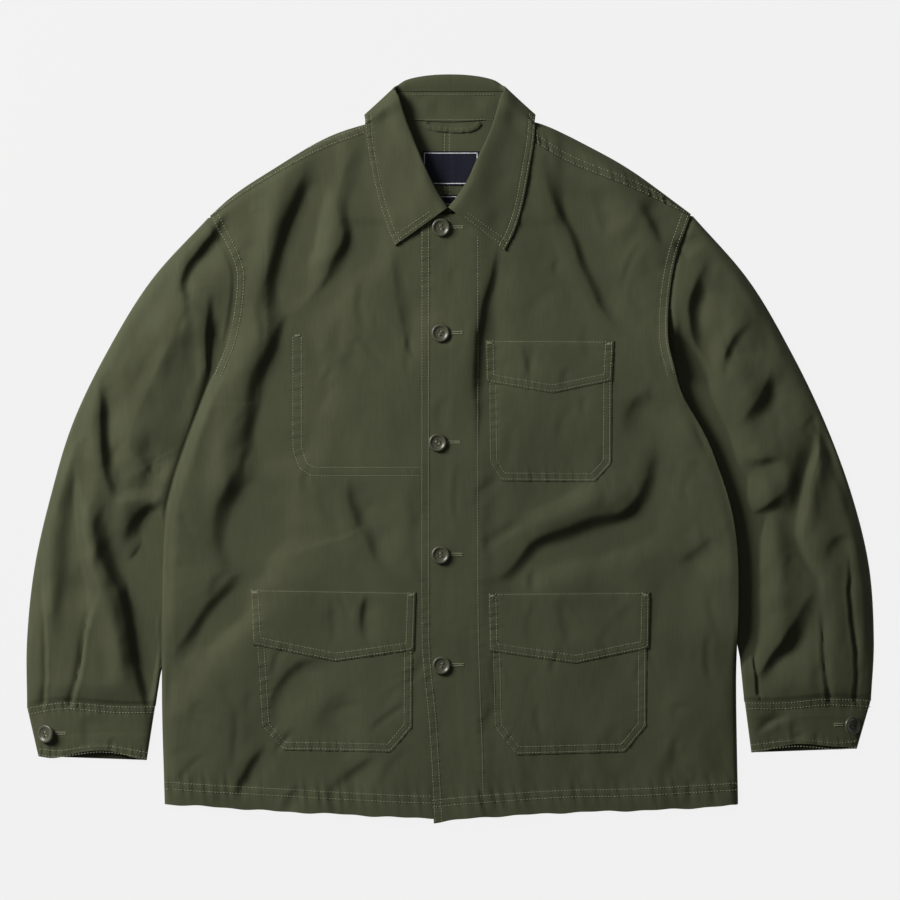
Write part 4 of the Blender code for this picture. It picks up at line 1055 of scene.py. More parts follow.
def ringGrids(plan, left, topZ, underColumns):
    # rings round a flat tube: over the top from the inner edge to the outer one, then back below
    wall = clothBuild["wall"]
    low, high = plan[:, 0], plan[:, -1]
    across = high - low
    across /= np.linalg.norm(across, axis=1, keepdims=True)
    body = plan[:, 1:-1]
    under = np.linspace(0.985, 0.015, underColumns)[None, :, None]
    below = low[:, None] * (1 - under) + high[:, None] * under
    grids = []
    flip = -1.0 if left else 1.0
    for outside in (True, False):
        inset = 0 if outside else wall
        ringPlan = np.concatenate([body, (high - across * inset)[:, None], below,
                                   (low + across * inset)[:, None]], axis=1)
        z = np.zeros(ringPlan.shape[:2])
        count = body.shape[1]
        z[:, :count] = topZ[:, 1:-1] - inset
        z[:, count + 1:-1] = inset
        z[:, count] = topZ[:, -1] / 2
        z[:, -1] = topZ[:, 0] / 2
        grids.append(np.dstack([ringPlan[..., 0] * flip, ringPlan[..., 1], z]))
    outer, inner = grids
    return (outer[:, ::-1], inner[:, ::-1]) if left else (outer, inner)


def tubeShares(count):  # closer together at both folded edges
    t = np.linspace(0, 1, count)
    return t - 0.05 * np.sin(2 * math.pi * t)


def buildSleeve(name, side, left):
    given, flip = sleeveBuild, -1.0 if left else 1.0
    shares = tubeShares(given["columns"])
    armhole = draft(side, "armhole", left)
    start = resample(armhole, shares)
    start = start - leftNormals(start) * given["tuck"]
    end = resample(draft(side, "cuffSeam", left), shares)[::-1] - np.array([0, given["cuffDrop"]])
    stations = np.linspace(0, 1, given["rows"])
    innerEdge = resample(draft(side, "sleeveInner", left), stations)
    pushed = given["press"] * ease((given["pressY"] - innerEdge[:, 1]) / given["pressRamp"])
    pushed *= 1 - ease((-innerEdge[:, 1] - given[name]["leaves"]) / given["leaveRamp"])
    innerEdge = innerEdge + np.array([given["edgeOverlap"], -clothBuild["seamGap"]])
    innerEdge[:, 0] += pushed
    outerEdge = resample(draft(side, "sleeveOuter", left), stations)
    innerEdge[0], outerEdge[0] = start[0], start[-1]
    innerEdge[-1], outerEdge[-1] = end[0], end[-1]
    plan = coons(start, end, innerEdge, outerEdge, shares, stations)
    x, y = plan[..., 0] * flip, plan[..., 1]
    headGap = np.abs(nearestOn(armhole[::4] * np.array([flip, 1.0]), x, y, 40)[0])
    tucked = 1 - ease((headGap - 0.5) / given["tuckRamp"])
    cuffGap = np.abs(nearestOn(side["lines"]["cuffSeam"], x, y, 30)[0])
    atCuff = given["cuffTuck"] * (1 - ease((cuffGap - 1.0) / given["cuffTuckRamp"]))
    drop = (clothBuild["wall"] + 0.55) * np.maximum(tucked, atCuff)
    innerGap = np.abs(nearestOn(side["lines"]["sleeveInner"], x, y, 60)[0])
    hollow = given[name]["hollow"] * (1 - ease((innerGap - 6) / given["hollowWide"]))
    hollow *= ease((y - given["hollowY"]) / given["hollowRamp"])
    top = plainTop(x, y, name) + seamRelief(x, y, name) - drop - hollow
    top = np.maximum(top, 2 * clothBuild["wall"] + 0.2)
    outer, inner = ringGrids(plan, left, top, given["underColumns"])
    pieces[name] = shellPiece(name, outer, inner, twill, ring=True)


buildSleeve("sleeveRight", rightSide, False)
buildSleeve("sleeveLeft", leftSide, True)
print("sleeves made")

cuffBuild = {
    "columns": 88, "rows": 30, "underColumns": 20,
    "cuffRight": {"node": "cuff_right", "flat": (0.250, 0.055), "slit": (-375, 34, 3.6)},
    "cuffLeft": {"node": "cuff_left", "flat": (0.250, 0.054), "slit": (385, 44, 4.6)},
}


def buildCuff(name, side, left):
    given, flip = cuffBuild, -1.0 if left else 1.0
    shares = tubeShares(given["columns"])
    start = resample(draft(side, "cuffSeam", left), shares)[::-1]
    end = resample(draft(side, "cuffHem", left), shares)[::-1]
    steps = np.linspace(0, 1, given["rows"])[:, None]
    plan = start[None] * (1 - steps[..., None]) + end[None] * steps[..., None]
    outer, inner = ringGrids(plan, left, topOf(plan[..., 0] * flip, plan[..., 1], name),
                             given["underColumns"])
    middle, half, lift = given[name]["slit"]
    for grid in (outer, inner):  # the upper layer's edge is drawn back and shows the lower one
        upper = ease((grid[..., 2] - 3.2) / 1.5)
        grid[..., 1] += lift * np.exp(-((grid[..., 0] - middle) / half)**4) * upper * steps**3
    pieces[name] = shellPiece(name, outer, inner, twill, ring=True)


buildCuff("cuffRight", rightSide, False)
buildCuff("cuffLeft", leftSide, True)
print("cuffs made")


# each row is neck x, y, roll x, y, leaf edge x, y, and 1 where the collar lies on the fronts
collarRows = [
    (-9.5, 251.0, -3.5, 253.0, -58.0, 214.0, 1.0),
    (-18.5, 257.0, -10.5, 264.5, -66.0, 232.0, 1.0),
    (-36.0, 277.5, -20.5, 283.0, -75.0, 260.0, 1.0),
    (-50.5, 302.5, -31.5, 309.0, -83.0, 294.0, 1.0),
    (-59.0, 324.0, -42.5, 334.0, -87.5, 320.0, 1.0),
    (-63.0, 336.0, -49.0, 354.0, -89.0, 336.0, 1.0),
    (-60.5, 345.0, -53.5, 369.0, -89.0, 344.5, 0.97),
    (-58.5, 352.8, -58.0, 379.0, -89.0, 351.5, 0.5),
    (-57.0, 351.6, -54.0, 382.5, -82.5, 350.0, 0.03),
    (-48.0, 348.4, -46.0, 387.5, -67.0, 345.0, 0.0),
    (-34.0, 346.4, -32.5, 391.0, -46.0, 341.0, 0.0),
    (-17.0, 345.0, -16.0, 393.0, -23.0, 338.5, 0.0),
    (0.0, 344.6, 0.0, 393.5, 0.0, 337.5, 0.0),
]
collarBuild = {
    "leftShifts": {0: (-4.0, -1.0, -5.0), 1: (-1.5, 1.0, -4.0), 2: (0.0, 1.0, -3.0)},
    "standTopY": 376.0,
    "standDrop": 2.5,
    "rollRoom": 4.0,
    "turn": 20.0,  # how far the stand's top swings out where front and back meet
    "nearRoll": [(6.0, 1.2), (1.2, 1.9), (0.0, 3.2), (1.6, 4.8), (8.0, 5.4)],  # way out and rise
    "outward": [(0.45, 3.4), (0.75, 2.2), (1.0, 1.7)],  # share of the leaf's width and rise
    "backRoll": [(0.55, 3.6), (0.22, 3.5), (0.0, 2.1)],
    "underRoll": (4.0, 0.8),
    "leafWall": 1.9,
    "leafFlat": (0.440, 0.070),
    "standFlat": (0.330, 0.032),
    "stationSteps": 12,
    "leafSteps": 9,
    "standSteps": 6,
    "edgeRows": (1.6, 7.0),
    # strength, length, phase and skew of each pucker wave
    "ripples": [(0.5, 7.4, 0.0, 0.3), (0.35, 4.9, 0.0, 0.0), (0.3, 17, 1.1, 0.0)],
    "frontLevel": 7.0,
    "stitchRadius": 0.42,
    "stitchPitch": 3.1,
    "backRows": (373.2, 346.8),
    "backRowHalf": 46,
    "backStitch": 2.1,
}


def collarStations():
    right = [np.array(row) for row in collarRows]
    left = []
    for k, row in enumerate(right[:-1]):
        turned = row * np.array([-1, 1, -1, 1, -1, 1, 1])
        rollShift, edgeX, edgeY = collarBuild["leftShifts"].get(k, (0, 0, 0))
        left.append(turned + np.array([rollShift, 0, rollShift, 0, edgeX, edgeY, 0]))
    return right + left[::-1]


def unit(vector):
    return vector / np.linalg.norm(vector)


def frontTopAt(x, y):  # what the collar lies on
    return float(np.interp(y, collarGrid["y"], np.array(
        [np.interp(x, collarGrid["x"], row) for row in collarGrid["z"]])))


def makeCollarGrid():  # upper side of the fronts round the neck, read at any point by frontTopAt
    gridX, gridY = np.arange(-130, 131, 3.0), np.arange(196, 410, 3.0)
    x, y = np.meshgrid(gridX, gridY)
    z = plainTop(x, y, "frontRight") + overlapRise(x) * ease((x + 46) / 14)
    return {"x": gridX, "y": gridY, "z": z}


collarGrid = makeCollarGrid()


def seamPoint(row, past=0.0):  # on the seam between the stand and the leaf, at the back
    neck, roll = row[0:2], row[2:4]
    reach = min(collarBuild["standTopY"], roll[1] - collarBuild["rollRoom"]) + past
    return neck + (roll - neck) * (reach - neck[1]) / max(roll[1] - neck[1], 1)


def standSection(row):
    neck, roll, level = row[0:2], row[2:4], row[6]
    frontTop = roll + unit(neck - roll) * collarBuild["standDrop"]
    top = frontTop * level + seamPoint(row) * (1 - level)
    top = top + unit(neck - roll) * collarBuild["turn"] * level * (1 - level)
    points = []
    for share in (0.0, 0.5, 1.0):
        x, y = neck + (top - neck) * share
        frontZ = frontTopAt(x, y) - clothBuild["wall"] / 2
        backZ = clothBuild["leafRise"] + clothBuild["wall"] / 2
        points.append((x, y, frontZ * level + backZ * (1 - level)))
    return points


def leafSection(row):
    neck, roll, edge, level = row[0:2], row[2:4], row[4:6], row[6]
    out, down = unit(edge - roll), unit(neck - roll)
    width = np.linalg.norm(edge - roll)
    front = [(*(roll + out * step), rise) for step, rise in collarBuild["nearRoll"]]
    front += [(*(roll + out * width * share), rise) for share, rise in collarBuild["outward"]]
    front = [(x, y, frontTopAt(x, y) + rise) for x, y, rise in front]
    seam = seamPoint(row, 0.7)
    back = [(*seam, clothBuild["leafRise"] + clothBuild["wall"] / 2)]
    room = np.linalg.norm(roll - seam)
    back += [(*(roll + down * room * share), height) for share, height in collarBuild["backRoll"]]
    back.append((*(roll + out * collarBuild["underRoll"][0]), collarBuild["underRoll"][1]))
    back += [(*(roll + out * width * share), clothBuild["wall"] / 2)
             for share, _ in collarBuild["outward"]]
    return np.array(front) * level + np.array(back) * (1 - level)


def refined(section, sectionSteps):
    dense = catmullRom([section(row) for row in collarStations()], collarBuild["stationSteps"])
    return catmullRom(dense.transpose(1, 0, 2), sectionSteps)


def gridNormal(mid):
    normal = np.cross(np.gradient(mid, axis=1), np.gradient(mid, axis=0))
    return normal / np.maximum(np.linalg.norm(normal, axis=2, keepdims=True), 1e-9)


def wallAbout(name, mid, thickness, material):
    half = gridNormal(mid) * thickness / 2
    outer, inner = mid + half, mid - half
    for grid in (outer, inner):
        grid[..., 2] = np.maximum(grid[..., 2], 0.02)
    return shellPiece(name, outer, inner, material)


leafGrid = refined(leafSection, collarBuild["leafSteps"])
standGrid = refined(standSection, collarBuild["standSteps"])


def collarRelief(mid):
    # puckers between the two rows of stitches at the leaf's edge, and soft waves further in
    fromEdge = np.cumsum(np.linalg.norm(np.diff(mid[::-1], axis=0), axis=2), axis=0)
    fromEdge = np.vstack([np.zeros((1, mid.shape[1])), fromEdge])[::-1]
    along = np.broadcast_to(runLength(mid[-1]), fromEdge.shape)
    ripple = sum(strong * np.sin(along * 6.28 / long + phase + skew * fromEdge)
                 for strong, long, phase, skew in collarBuild["ripples"])
    middle = sum(collarBuild["edgeRows"]) / 2
    relief = (0.3 + 0.8 * ripple) * np.exp(-((fromEdge - middle) / 4.6)**2)
    for row in collarBuild["edgeRows"]:
        relief -= 0.6 * np.exp(-((fromEdge - row) / 1.2)**2)
    return relief + noiseSum(waveBuild["leaf"], mid[..., 0], mid[..., 1]), fromEdge


leafRelief, leafFromEdge = collarRelief(leafGrid)
onFronts = ease((leafGrid[..., 2] - collarBuild["frontLevel"]) / 3.0)
leafGrid = leafGrid + gridNormal(leafGrid) * (leafRelief * onFronts)[..., None]
pieces["collarLeaf"] = wallAbout("collarLeaf", leafGrid, collarBuild["leafWall"], twill)
standGrid[..., 2] += noiseSum(waveBuild["stand"], standGrid[..., 0], standGrid[..., 1])
pieces["collarStand"] = wallAbout("collarStand", standGrid, clothBuild["wall"], twill)
print("collar made")


def buildPatch(name):
    patch, step = patches[name], 2.0
    sides = {key: cornered(patch[key], 1.0, 2) for key in ("left", "right", "bottom", "top")}
    sides["bottom"][0], sides["bottom"][-1] = sides["left"][0], sides["right"][0]
    u, v = [np.linspace(0, 1, int(np.linalg.norm(sides[key][-1] - sides[key][0]) / step))
            for key in ("top", "left")]
    plan = coons(resample(sides["bottom"], u), resample(sides["top"], u),
                 resample(sides["left"], v), resample(sides["right"], v), u, v)
    outer = raised(plan, topOf(plan[..., 0], plan[..., 1], name))
    inner = outer - np.array([0, 0, clothBuild["patchWall"]])
    pieces[name] = shellPiece(name, outer, inner, twill)


for patchName in patches:
    buildPatch(patchName)
print("pockets made")


labelBuild = {
    "mainLabel": {"node": "main_label", "box": (-29.0, 277.5, 30.5, 313.5), "line": 0.9,
                  "flat": (0.0595, 0.036)},
    "sizeLabel": {"node": "size_label", "box": (-12.5, 256.0, 14.5, 267.5), "line": 0.7,
                  "flat": (0.027, 0.0115)},
    "border": 1.6,  # from the edge to the pale line
    "step": 2.0,
    "lift": 0.5,
    "wave": 0.35,
    "wall": 0.8,
}


def lineStations(low, high, line):  # with a narrow strip for the pale line near both ends
    border, step = labelBuild["border"], labelBuild["step"]
    count = max(2, int((high - low - 2 * border) / step))
    inside = np.linspace(low + border + line, high - border - line, count)
    return np.concatenate([[low, low + border], inside, [high - border, high]])


def buildLabel(name):
    given = labelBuild[name]
    x0, y0, x1, y1 = given["box"]
    x, y = np.meshgrid(lineStations(x0, x1, given["line"]), lineStations(y0, y1, given["line"]))
    base = topOf(x, y, "backNeck") + labelBuild["lift"]
    base = base + labelBuild["wave"] * np.sin((x - x0) / 9.0 + 0.6) * ease((y - y0) / 8)
    faces = gridFaces(*x.shape)
    points = closedWall(np.dstack([x, y, base + labelBuild["wall"]]), np.dstack([x, y, base]), faces)
    piece = addPiece(name, *points, labelCloth)
    piece.data.materials.append(labelBorder)
    row, column = np.divmod(np.arange(len(faces)), x.shape[1] - 1)
    lastRow, lastColumn = x.shape[0] - 3, x.shape[1] - 3
    inRing = ((row >= 1) & (row <= lastRow) & (column >= 1) & (column <= lastColumn)
              & ((row == 1) | (row == lastRow) | (column == 1) | (column == lastColumn)))
    for k in np.nonzero(inRing)[0]:
        piece.data.polygons[int(k)].material_index = 1
    pieces[name] = piece


buildLabel("mainLabel")
buildLabel("sizeLabel")

loopBuild = {
    "path": [(-27.5, 343.5), (-23.5, 339.6), (-14, 337.2), (-2, 336.2), (10, 335.6), (21, 336.6),
             (27, 339.8), (31, 343.5)],
    "width": 5.4,
    "lift": 0.4,
    "crown": 0.5,
    "wall": 1.4,
    "flat": (0.064, 0.0108),
    "area": 0.00036,
}


def buildLoop():
    middle = evenLine(loopBuild["path"], 1.2)
    place = np.arange(len(middle))
    across = np.linspace(-0.5, 0.5, 7)[:, None]
    aside = across * loopBuild["width"] + 0.25 * np.sin(place * 0.9) + 0.2 * np.sin(place * 0.37)
    plan = middle[None] + leftNormals(middle)[None] * aside[..., None]
    crown = loopBuild["crown"] * (1 - (2 * across)**2) + 0.14 * np.sin(place * 1.3)
    base = topOf(plan[..., 0], plan[..., 1], "backNeck") + loopBuild["lift"]
    outer = np.dstack([plan, base + loopBuild["wall"] + crown])
    pieces["hangerLoop"] = shellPiece("hangerLoop", outer, np.dstack([plan, base]), twill)


buildLoop()
print("labels and loop made")


buttonBuild = {
    "radius": 9.6,
    "height": 3.5,
    "sides": 48,
    # share of the radius and share of the height, from the middle below to the middle on top
    "profile": [(0.0, 0.0), (0.74, 0.0), (0.93, 0.12), (1.0, 0.34), (1.0, 0.62), (0.965, 0.86),
                (0.90, 0.985), (0.82, 1.0), (0.74, 0.94), (0.67, 0.78), (0.60, 0.66), (0.50, 0.60),
                (0.30, 0.57), (0.0, 0.56)],
    "holeRadius": 0.95,
    "holeSpacing": 1.9,
    "holeSides": 18,
    "holeDepth": 12.0,
    "turns": (0.2, -0.5, 0.9, 0.1, -0.3),
    "cuffTurn": 0.4,
    "cuffLean": 0.42,
    "cuffLift": 1.4,
    "seatStep": 6.0,  # the cloth's slope under a button is read over this distance
    "seatRings": (9.0, 5.0),
    "seatRise": 1.4,
    "seatGap": 0.1,
    "threadLevel": 0.62,
    "threadSink": 0.9,
    "threadShifts": (-0.35, 0.0, 0.35),
    "threadArch": 0.95,
    "threadRadius": 0.3,
}


def turnedMesh(name, profile, sides, radius, height):
    work = bmesh.new()
    rings = []
    for share, level in profile:
        angles = [2 * math.pi * k / sides for k in range(sides)] if share else [0.0]
        rings.append([work.verts.new((radius * share * math.cos(angle) * mm,
                                      radius * share * math.sin(angle) * mm,
                                      height * level * mm)) for angle in angles])
    for low, high in zip(rings, rings[1:]):
        for k in range(sides):
            nxt = (k + 1) % sides
            if len(low) == 1:
                work.faces.new((low[0], high[nxt], high[k]))
            elif len(high) == 1:
                work.faces.new((low[k], low[nxt], high[0]))
            else:
                work.faces.new((low[k], low[nxt], high[nxt], high[k]))
    mesh = bpy.data.meshes.new(name)
    work.to_mesh(mesh)
    work.free()
    return mesh


def drilledButton():
    given = buttonBuild
    blank = addObject("buttonBlank", turnedMesh("buttonBlank", given["profile"], given["sides"],
                                                given["radius"], given["height"]))
    work = bmesh.new()
    for sx in (-1, 1):
        for sy in (-1, 1):
            made = bmesh.ops.create_cone(work, cap_ends=True, segments=given["holeSides"],
                                         depth=given["holeDepth"] * mm,
                                         radius1=given["holeRadius"] * mm,
                                         radius2=given["holeRadius"] * mm)
            bmesh.ops.translate(work, verts=made["verts"],
                                vec=Vector((sx, sy, 0)) * given["holeSpacing"] * mm)
    punchMesh = bpy.data.meshes.new("buttonPunch")
    work.to_mesh(punchMesh)
    work.free()
    punch = addObject("buttonPunch", punchMesh)
    cut = blank.modifiers.new("holes", "BOOLEAN")
    cut.operation = "DIFFERENCE"
    cut.solver = "EXACT"
    cut.object = punch
    graph = bpy.context.evaluated_depsgraph_get()
    mesh = bpy.data.meshes.new_from_object(blank.evaluated_get(graph))
    for made in (blank, punch):
        bpy.data.objects.remove(made)
    mesh.materials.clear()
    mesh.materials.append(buttonHorn)
    mesh.shade_smooth()
    mesh.set_sharp_from_angle(angle=math.radians(40))
    return mesh


def softStitches(starts, ends, lifts, radius):
    # one small spindle for each stitch, joined in one mesh; returns points and faces
    starts, ends = np.asarray(starts, float), np.asarray(ends, float)
    run = ends - starts
    length = np.linalg.norm(run, axis=1, keepdims=True)
    run = run / length
    up = np.tile([0.0, 0.0, 1.0], (len(run), 1))
    aside = np.cross(up, run)
    aside /= np.linalg.norm(aside, axis=1, keepdims=True)
    top = np.cross(run, aside)
    rings = [starts]
    for share in (0.22, 0.78):
        centre = starts + (ends - starts) * share + top * lifts
        for a, b in ((1, 0), (0, 1), (-1, 0), (0, -1)):
            rings.append(centre + (aside * a + top * b) * radius)
    rings.append(ends)
    points = np.stack(rings, axis=1).reshape(-1, 3)
    template = [(0, 1, 2), (0, 2, 3), (0, 3, 4), (0, 4, 1)]
    for k in range(4):
        nxt = (k + 1) % 4
        template += [(1 + k, 5 + k, 5 + nxt), (1 + k, 5 + nxt, 1 + nxt)]
    template += [(9, 6, 5), (9, 7, 6), (9, 8, 7), (9, 5, 8)]
    template = np.array(template)[:, ::-1]
    faces = (template[None] + (np.arange(len(starts)) * 10)[:, None, None]).reshape(-1, 3)
    return points, faces


buttonMesh = drilledButton()


def buttonSeat(x, y):
    given, step = buttonBuild, buttonBuild["seatStep"]
    around = np.array([(x, y), (x + step, y), (x - step, y), (x, y + step), (x, y - step)])
    piece = "frontLeft" if abs(x) < 40 else "cuff"
    top = topOf(around[:, 0], around[:, 1], piece)
    slopeX, slopeY = (top[1] - top[2]) / (2 * step), (top[3] - top[4]) / (2 * step)
    angles = np.linspace(0, 2 * math.pi, 24, endpoint=False)
    px = np.concatenate([x + np.cos(angles) * ring for ring in given["seatRings"]])
    py = np.concatenate([y + np.sin(angles) * ring for ring in given["seatRings"]])
    plane = top[0] + slopeX * (px - x) + slopeY * (py - y)
    clear = max(0.0, float((topOf(px, py, piece) - plane).max()))
    level = top[0] + min(clear, given["seatRise"]) + given["seatGap"]
    return Vector((x, y, level)), Vector((-slopeX, -slopeY, 1)).normalized()


def buildButton(name, x, y, turn):
    given = buttonBuild
    centre, normal = buttonSeat(x, y)
    if name in cuffButtons:  # a cuff's button leans over the cuff's rounded outer edge
        normal = Matrix.Rotation(math.copysign(given["cuffLean"], x), 3, "Y") @ normal
        centre.z += given["cuffLift"]
    seat = Vector((0, 0, 1)).rotation_difference(normal).to_matrix().to_4x4()
    seat.translation = centre * mm
    spin = np.array([[math.cos(turn), -math.sin(turn)], [math.sin(turn), math.cos(turn)]])

    def placed(px, py, pz):
        return seat @ Vector((*(spin @ np.array([px, py])), pz))

    mesh = buttonMesh.copy()
    for vertex in mesh.vertices:
        vertex.co = placed(*vertex.co)
    pieces[name] = addObject(name, mesh)
    gap = given["holeSpacing"]
    level = given["height"] * given["threadLevel"] - given["threadSink"]
    rows = [sy * gap + shift for sy in (-1, 1) for shift in given["threadShifts"]]
    starts, ends = [[tuple(placed(end * gap * mm, row * mm, level * mm) / mm) for row in rows]
                    for end in (-1, 1)]
    points, faces = softStitches(starts, ends, given["threadArch"], given["threadRadius"])
    pieces[name + "Thread"] = addPiece(name + "Thread", points, faces, thread)


for k, (bx, by) in enumerate(frontButtons, 1):
    buildButton(f"buttonFront{k}", bx, by, buttonBuild["turns"][k - 1])
for buttonName, (bx, by) in cuffButtons.items():
    buildButton(buttonName, bx, by, buttonBuild["cuffTurn"])
print("buttons made")


sewingBuild = {
    "pitch": 3.15,
    "length": 1.95,
    "radius": 0.48,
    "arch": 0.22,
    "lift": 0.02,
    "closeShare": 0.9,  # of the radius, in bar tacks and buttonholes
    "tackPlaces": [k * 0.75 for k in range(-3, 4)],
    "tackHalf": 1.3,
    "tackLift": 0.12,
    "tackInset": (4.5, -3.4),
    "holeBars": 21,
    "holeBar": (0.3, 1.7),
    "holeLift": 0.08,
    "frontHole": (8.4, 23.0),
    "seamEndX": 74,  # the shoulder rows start this far from the middle
    "neckSeamY": (268, 335),
}
sewing = {}  # the starts and the ends of the stitches in each set


def sew(owner, piece, starts, ends, lift):
    runs = sewing.setdefault(owner, ([], []))
    for run, points in zip(runs, (starts, ends)):
        points = np.asarray(points, float)
        run.append(np.column_stack([points, topOf(points[:, 0], points[:, 1], piece) + lift]))


def evenStitches(line, pitch, share):  # starts and ends along a line, a share of the pitch long
    count = int(runLength(line)[-1] / pitch)
    middle = (np.arange(count) + 0.5) / count
    return resample(line, middle - share / 2 / count), resample(line, middle + share / 2 / count)


def addRow(piece, line):
    share = sewingBuild["length"] / sewingBuild["pitch"]
    if runLength(line)[-1] >= 2 * sewingBuild["pitch"]:
        sew(piece, piece, *evenStitches(line, sewingBuild["pitch"], share), sewingBuild["lift"])


def visiblePart(piece, line, row):
    if piece == "backNeck":
        low, high = sewingBuild["neckSeamY"]
        return line[(line[:, 1] < high) & (line[:, 1] > low)]
    if piece.startswith("back"):
        side, sign = (rightSide, -1) if piece == "backRight" else (leftSide, 1)
        if abs(row) > 3:  # the outer row ends where it would run over the fold
            fold = side["lines"]["shoulderFold"]
            line = line[nearestOn(fold, line[:, 0], line[:, 1], 60)[0] * sign > 1.2]
        return line[np.abs(line[:, 0]) > sewingBuild["seamEndX"]]
    return line


for seam in seams:
    for row in seam["rows"]:
        line = offsetLine(seam["line"], row) if row else seam["line"]
        line = visiblePart(seam["piece"], line, row)
        if len(line) > 2:
            addRow(seam["piece"], line)


def tack(owner, piece, x, y):  # close, short stitches side by side
    half, places = sewingBuild["tackHalf"], sewingBuild["tackPlaces"]
    sew(owner, piece, [(x + k, y - half) for k in places], [(x + k, y + half) for k in places],
        sewingBuild["tackLift"])


def buttonhole(owner, piece, x0, x1, y):
    places = [(k, side) for k in np.linspace(x0, x1, sewingBuild["holeBars"]) for side in (-1, 1)]
    near, far = sewingBuild["holeBar"]
    sew(owner, piece, [(k, y + side * near) for k, side in places],
        [(k, y + side * far) for k, side in places], sewingBuild["holeLift"])


for bx, by in frontButtons:
    near, far = sewingBuild["frontHole"]
    buttonhole("closeFront", "frontLeft", bx + near, bx + far, by + 0.5)
buttonhole("closeCuffRight", "cuffRight", -415.0, -404.0, -298.5)
buttonhole("closeCuffLeft", "cuffLeft", 404.0, 413.0, -289.5)
for name, patch in patches.items():
    if patch["layer"] == 2:
        (x0, y0), (x1, y1) = patch["top"]
        inX, inY = sewingBuild["tackInset"]
        tack("closePockets", name, x0 + inX, y0 + inY)
        tack("closePockets", name, x1 - inX, y1 + inY)
tack("closeFront", "frontRight", -160.5, 119.5)
for owner, (starts, ends) in sewing.items():
    name = "stitches" + owner[0].upper() + owner[1:]
    share = sewingBuild["closeShare"] if owner.startswith("close") else 1.0
    points, faces = softStitches(np.vstack(starts), np.vstack(ends), sewingBuild["arch"],
                                 sewingBuild["radius"] * share)
    pieces[name] = addPiece(name, points, faces, thread)


stitchLift = np.array([0, 0, collarBuild["leafWall"] / 2 + 0.1])


def leafRow(fromEdge):
    # points on the collar leaf at an even distance from its edge, where it lies on the fronts
    line = [[np.interp(fromEdge, leafFromEdge[::-1, k], leafGrid[::-1, k, axis]) for axis in range(3)]
            for k in range(leafGrid.shape[1])]
    onTop = leafGrid[-1, :, 2] >= collarBuild["frontLevel"] + 0.5
    middle = leafGrid.shape[1] // 2
    return [(np.array(line[part]) + stitchLift)[onTop[part]]
            for part in (slice(0, middle), slice(middle, None))]


def collarLines():
    for distance in collarBuild["edgeRows"]:
        yield from leafRow(distance)
    for column in (2, 6, -3, -7):  # along the leaf's short front edges
        yield leafGrid[int(0.64 * len(leafGrid)):-1, column] + stitchLift


def buildCollarSewing():
    given = collarBuild
    runs = [evenStitches(line, given["stitchPitch"], 0.68) for line in collarLines()]
    x = np.arange(-given["backRowHalf"], given["backRowHalf"], given["stitchPitch"])
    height = clothBuild["leafRise"] + clothBuild["wall"] + 0.35
    for y in given["backRows"]:
        start = np.column_stack([x, np.full(len(x), y), np.full(len(x), height)])
        runs.append((start, start + np.array([given["backStitch"], 0, 0])))
    starts, ends = [np.vstack(part) for part in zip(*runs)]
    points, faces = softStitches(starts, ends, 0.2, given["stitchRadius"])
    pieces["stitchesCollar"] = addPiece("stitchesCollar", points, faces, thread)


buildCollarSewing()
print("sewing made")


# what each piece stands for
def stand(name, node):
    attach(pieces[name], "root")
    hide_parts(node)


nodeOf = {"collarLeaf": "collar_leaf", "collarStand": "collar_stand", "hangerLoop": "hanger_loop",
          "buttonCuffRight": "button_cuff_right", "buttonCuffLeft": "button_cuff_left"}
for build in (frontBuild, backBuild, sleeveBuild, cuffBuild, labelBuild, patches):
    nodeOf.update({name: given["node"] for name, given in build.items() if isinstance(given, dict)})
nodeOf.update({f"buttonFront{k}": f"button_front_{k}" for k in range(1, 6)})
for name, node in nodeOf.items():
    stand(name, node)
for name, piece in pieces.items():
    if name not in nodeOf:
        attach(piece, "root")

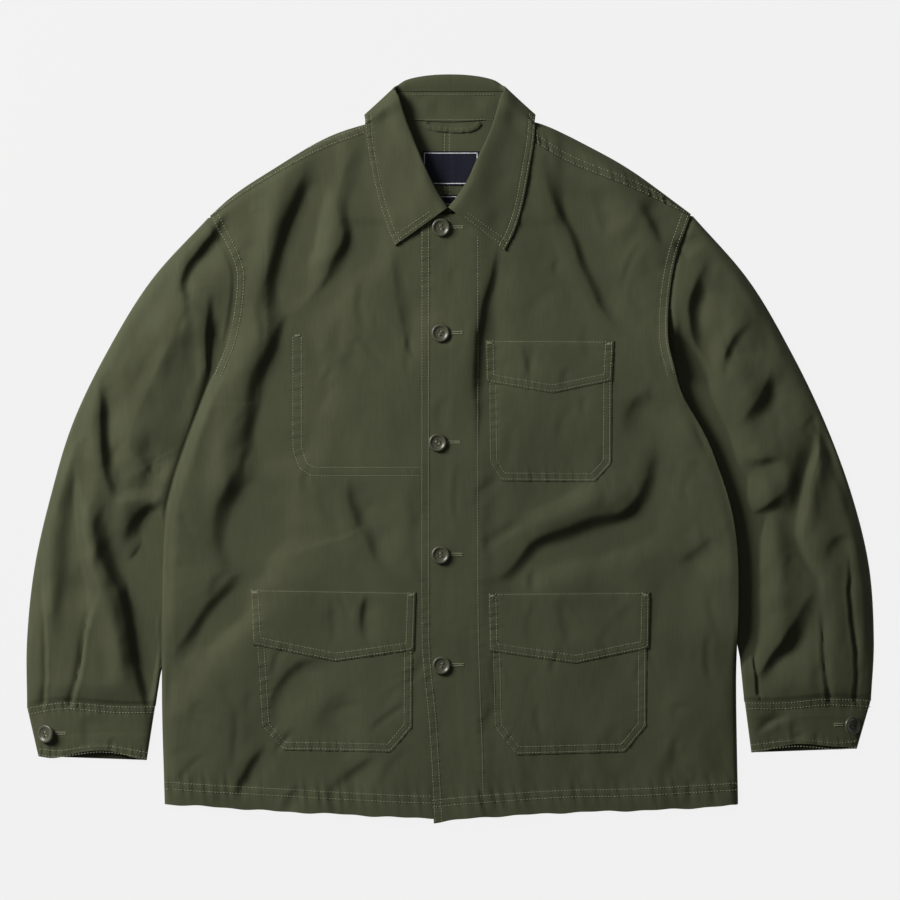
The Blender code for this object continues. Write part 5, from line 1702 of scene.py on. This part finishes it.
backs = ["backRight", "backLeft"]
for build, names in ((backBuild, backs), (sleeveBuild, ("sleeveRight", "sleeveLeft"))):
    for name in names:
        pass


floorBuild = {
    "size": 8.0,
    "below": 0.0004,
    "glow": (0.868, 0.868, 0.868),
    "colour": (0.014, 0.014, 0.014),
}
lightBuild = {
    "key": {"place": (-1.82, 1.12, 1.34), "size": 0.95, "power": 100.0, "colour": (1.0, 0.985, 0.96)},
    "fill": {"place": (0.6, 0.4, 3.2), "size": 3.0, "power": 8.0, "colour": (0.97, 0.98, 1.0)},
    "world": 0.06,
}
cameraBuild = {"height": 6.0, "field": 0.9472, "placeY": -0.0008, "sensor": 36.0}


def makeFloor():
    material, _, shader = newMaterial("paleFloor", floorBuild["colour"], 1.0)
    shader.inputs["Specular IOR Level"].default_value = 0.0
    shader.inputs["Emission Color"].default_value = (*floorBuild["glow"], 1)
    shader.inputs["Emission Strength"].default_value = 1.0
    half, level = floorBuild["size"] / 2, -floorBuild["below"]
    mesh = bpy.data.meshes.new("floor")
    corners = [(-half, -half, level), (half, -half, level), (half, half, level), (-half, half, level)]
    mesh.from_pydata(corners, [], [(0, 1, 2, 3)])
    mesh.materials.append(material)
    addObject("floor", mesh)


def makeLight(name):
    given = lightBuild[name]
    light = bpy.data.lights.new(name + "Light", "AREA")
    light.shape = "SQUARE"
    light.size = given["size"]
    light.energy = given["power"]
    light.color = given["colour"]
    lamp = addObject(name + "Light", light)
    lamp.location = given["place"]
    lamp.rotation_euler = (-Vector(given["place"])).to_track_quat("-Z", "Y").to_euler()


def makeCamera():
    lens = bpy.data.cameras.new("overhead")
    lens.sensor_width = cameraBuild["sensor"]
    lens.lens = cameraBuild["sensor"] * cameraBuild["height"] / cameraBuild["field"]
    camera = addObject("overhead", lens)
    camera.location = (0, cameraBuild["placeY"], cameraBuild["height"])
    bpy.context.scene.camera = camera


makeFloor()
makeLight("key")
makeLight("fill")
world = bpy.data.worlds.new("studio")
world.use_nodes = True
world.node_tree.nodes["Background"].inputs[0].default_value = (1.0, 1.0, 1.0, 1)
world.node_tree.nodes["Background"].inputs[1].default_value = lightBuild["world"]
bpy.context.scene.world = world
bpy.context.scene.view_settings.view_transform = "Standard"
makeCamera()
print("floor, light and camera made")

triangles = sum(sum(len(p.vertices) - 2 for p in piece.data.polygons) for piece in pieces.values())
print("pieces:", len(pieces), "triangles:", triangles)
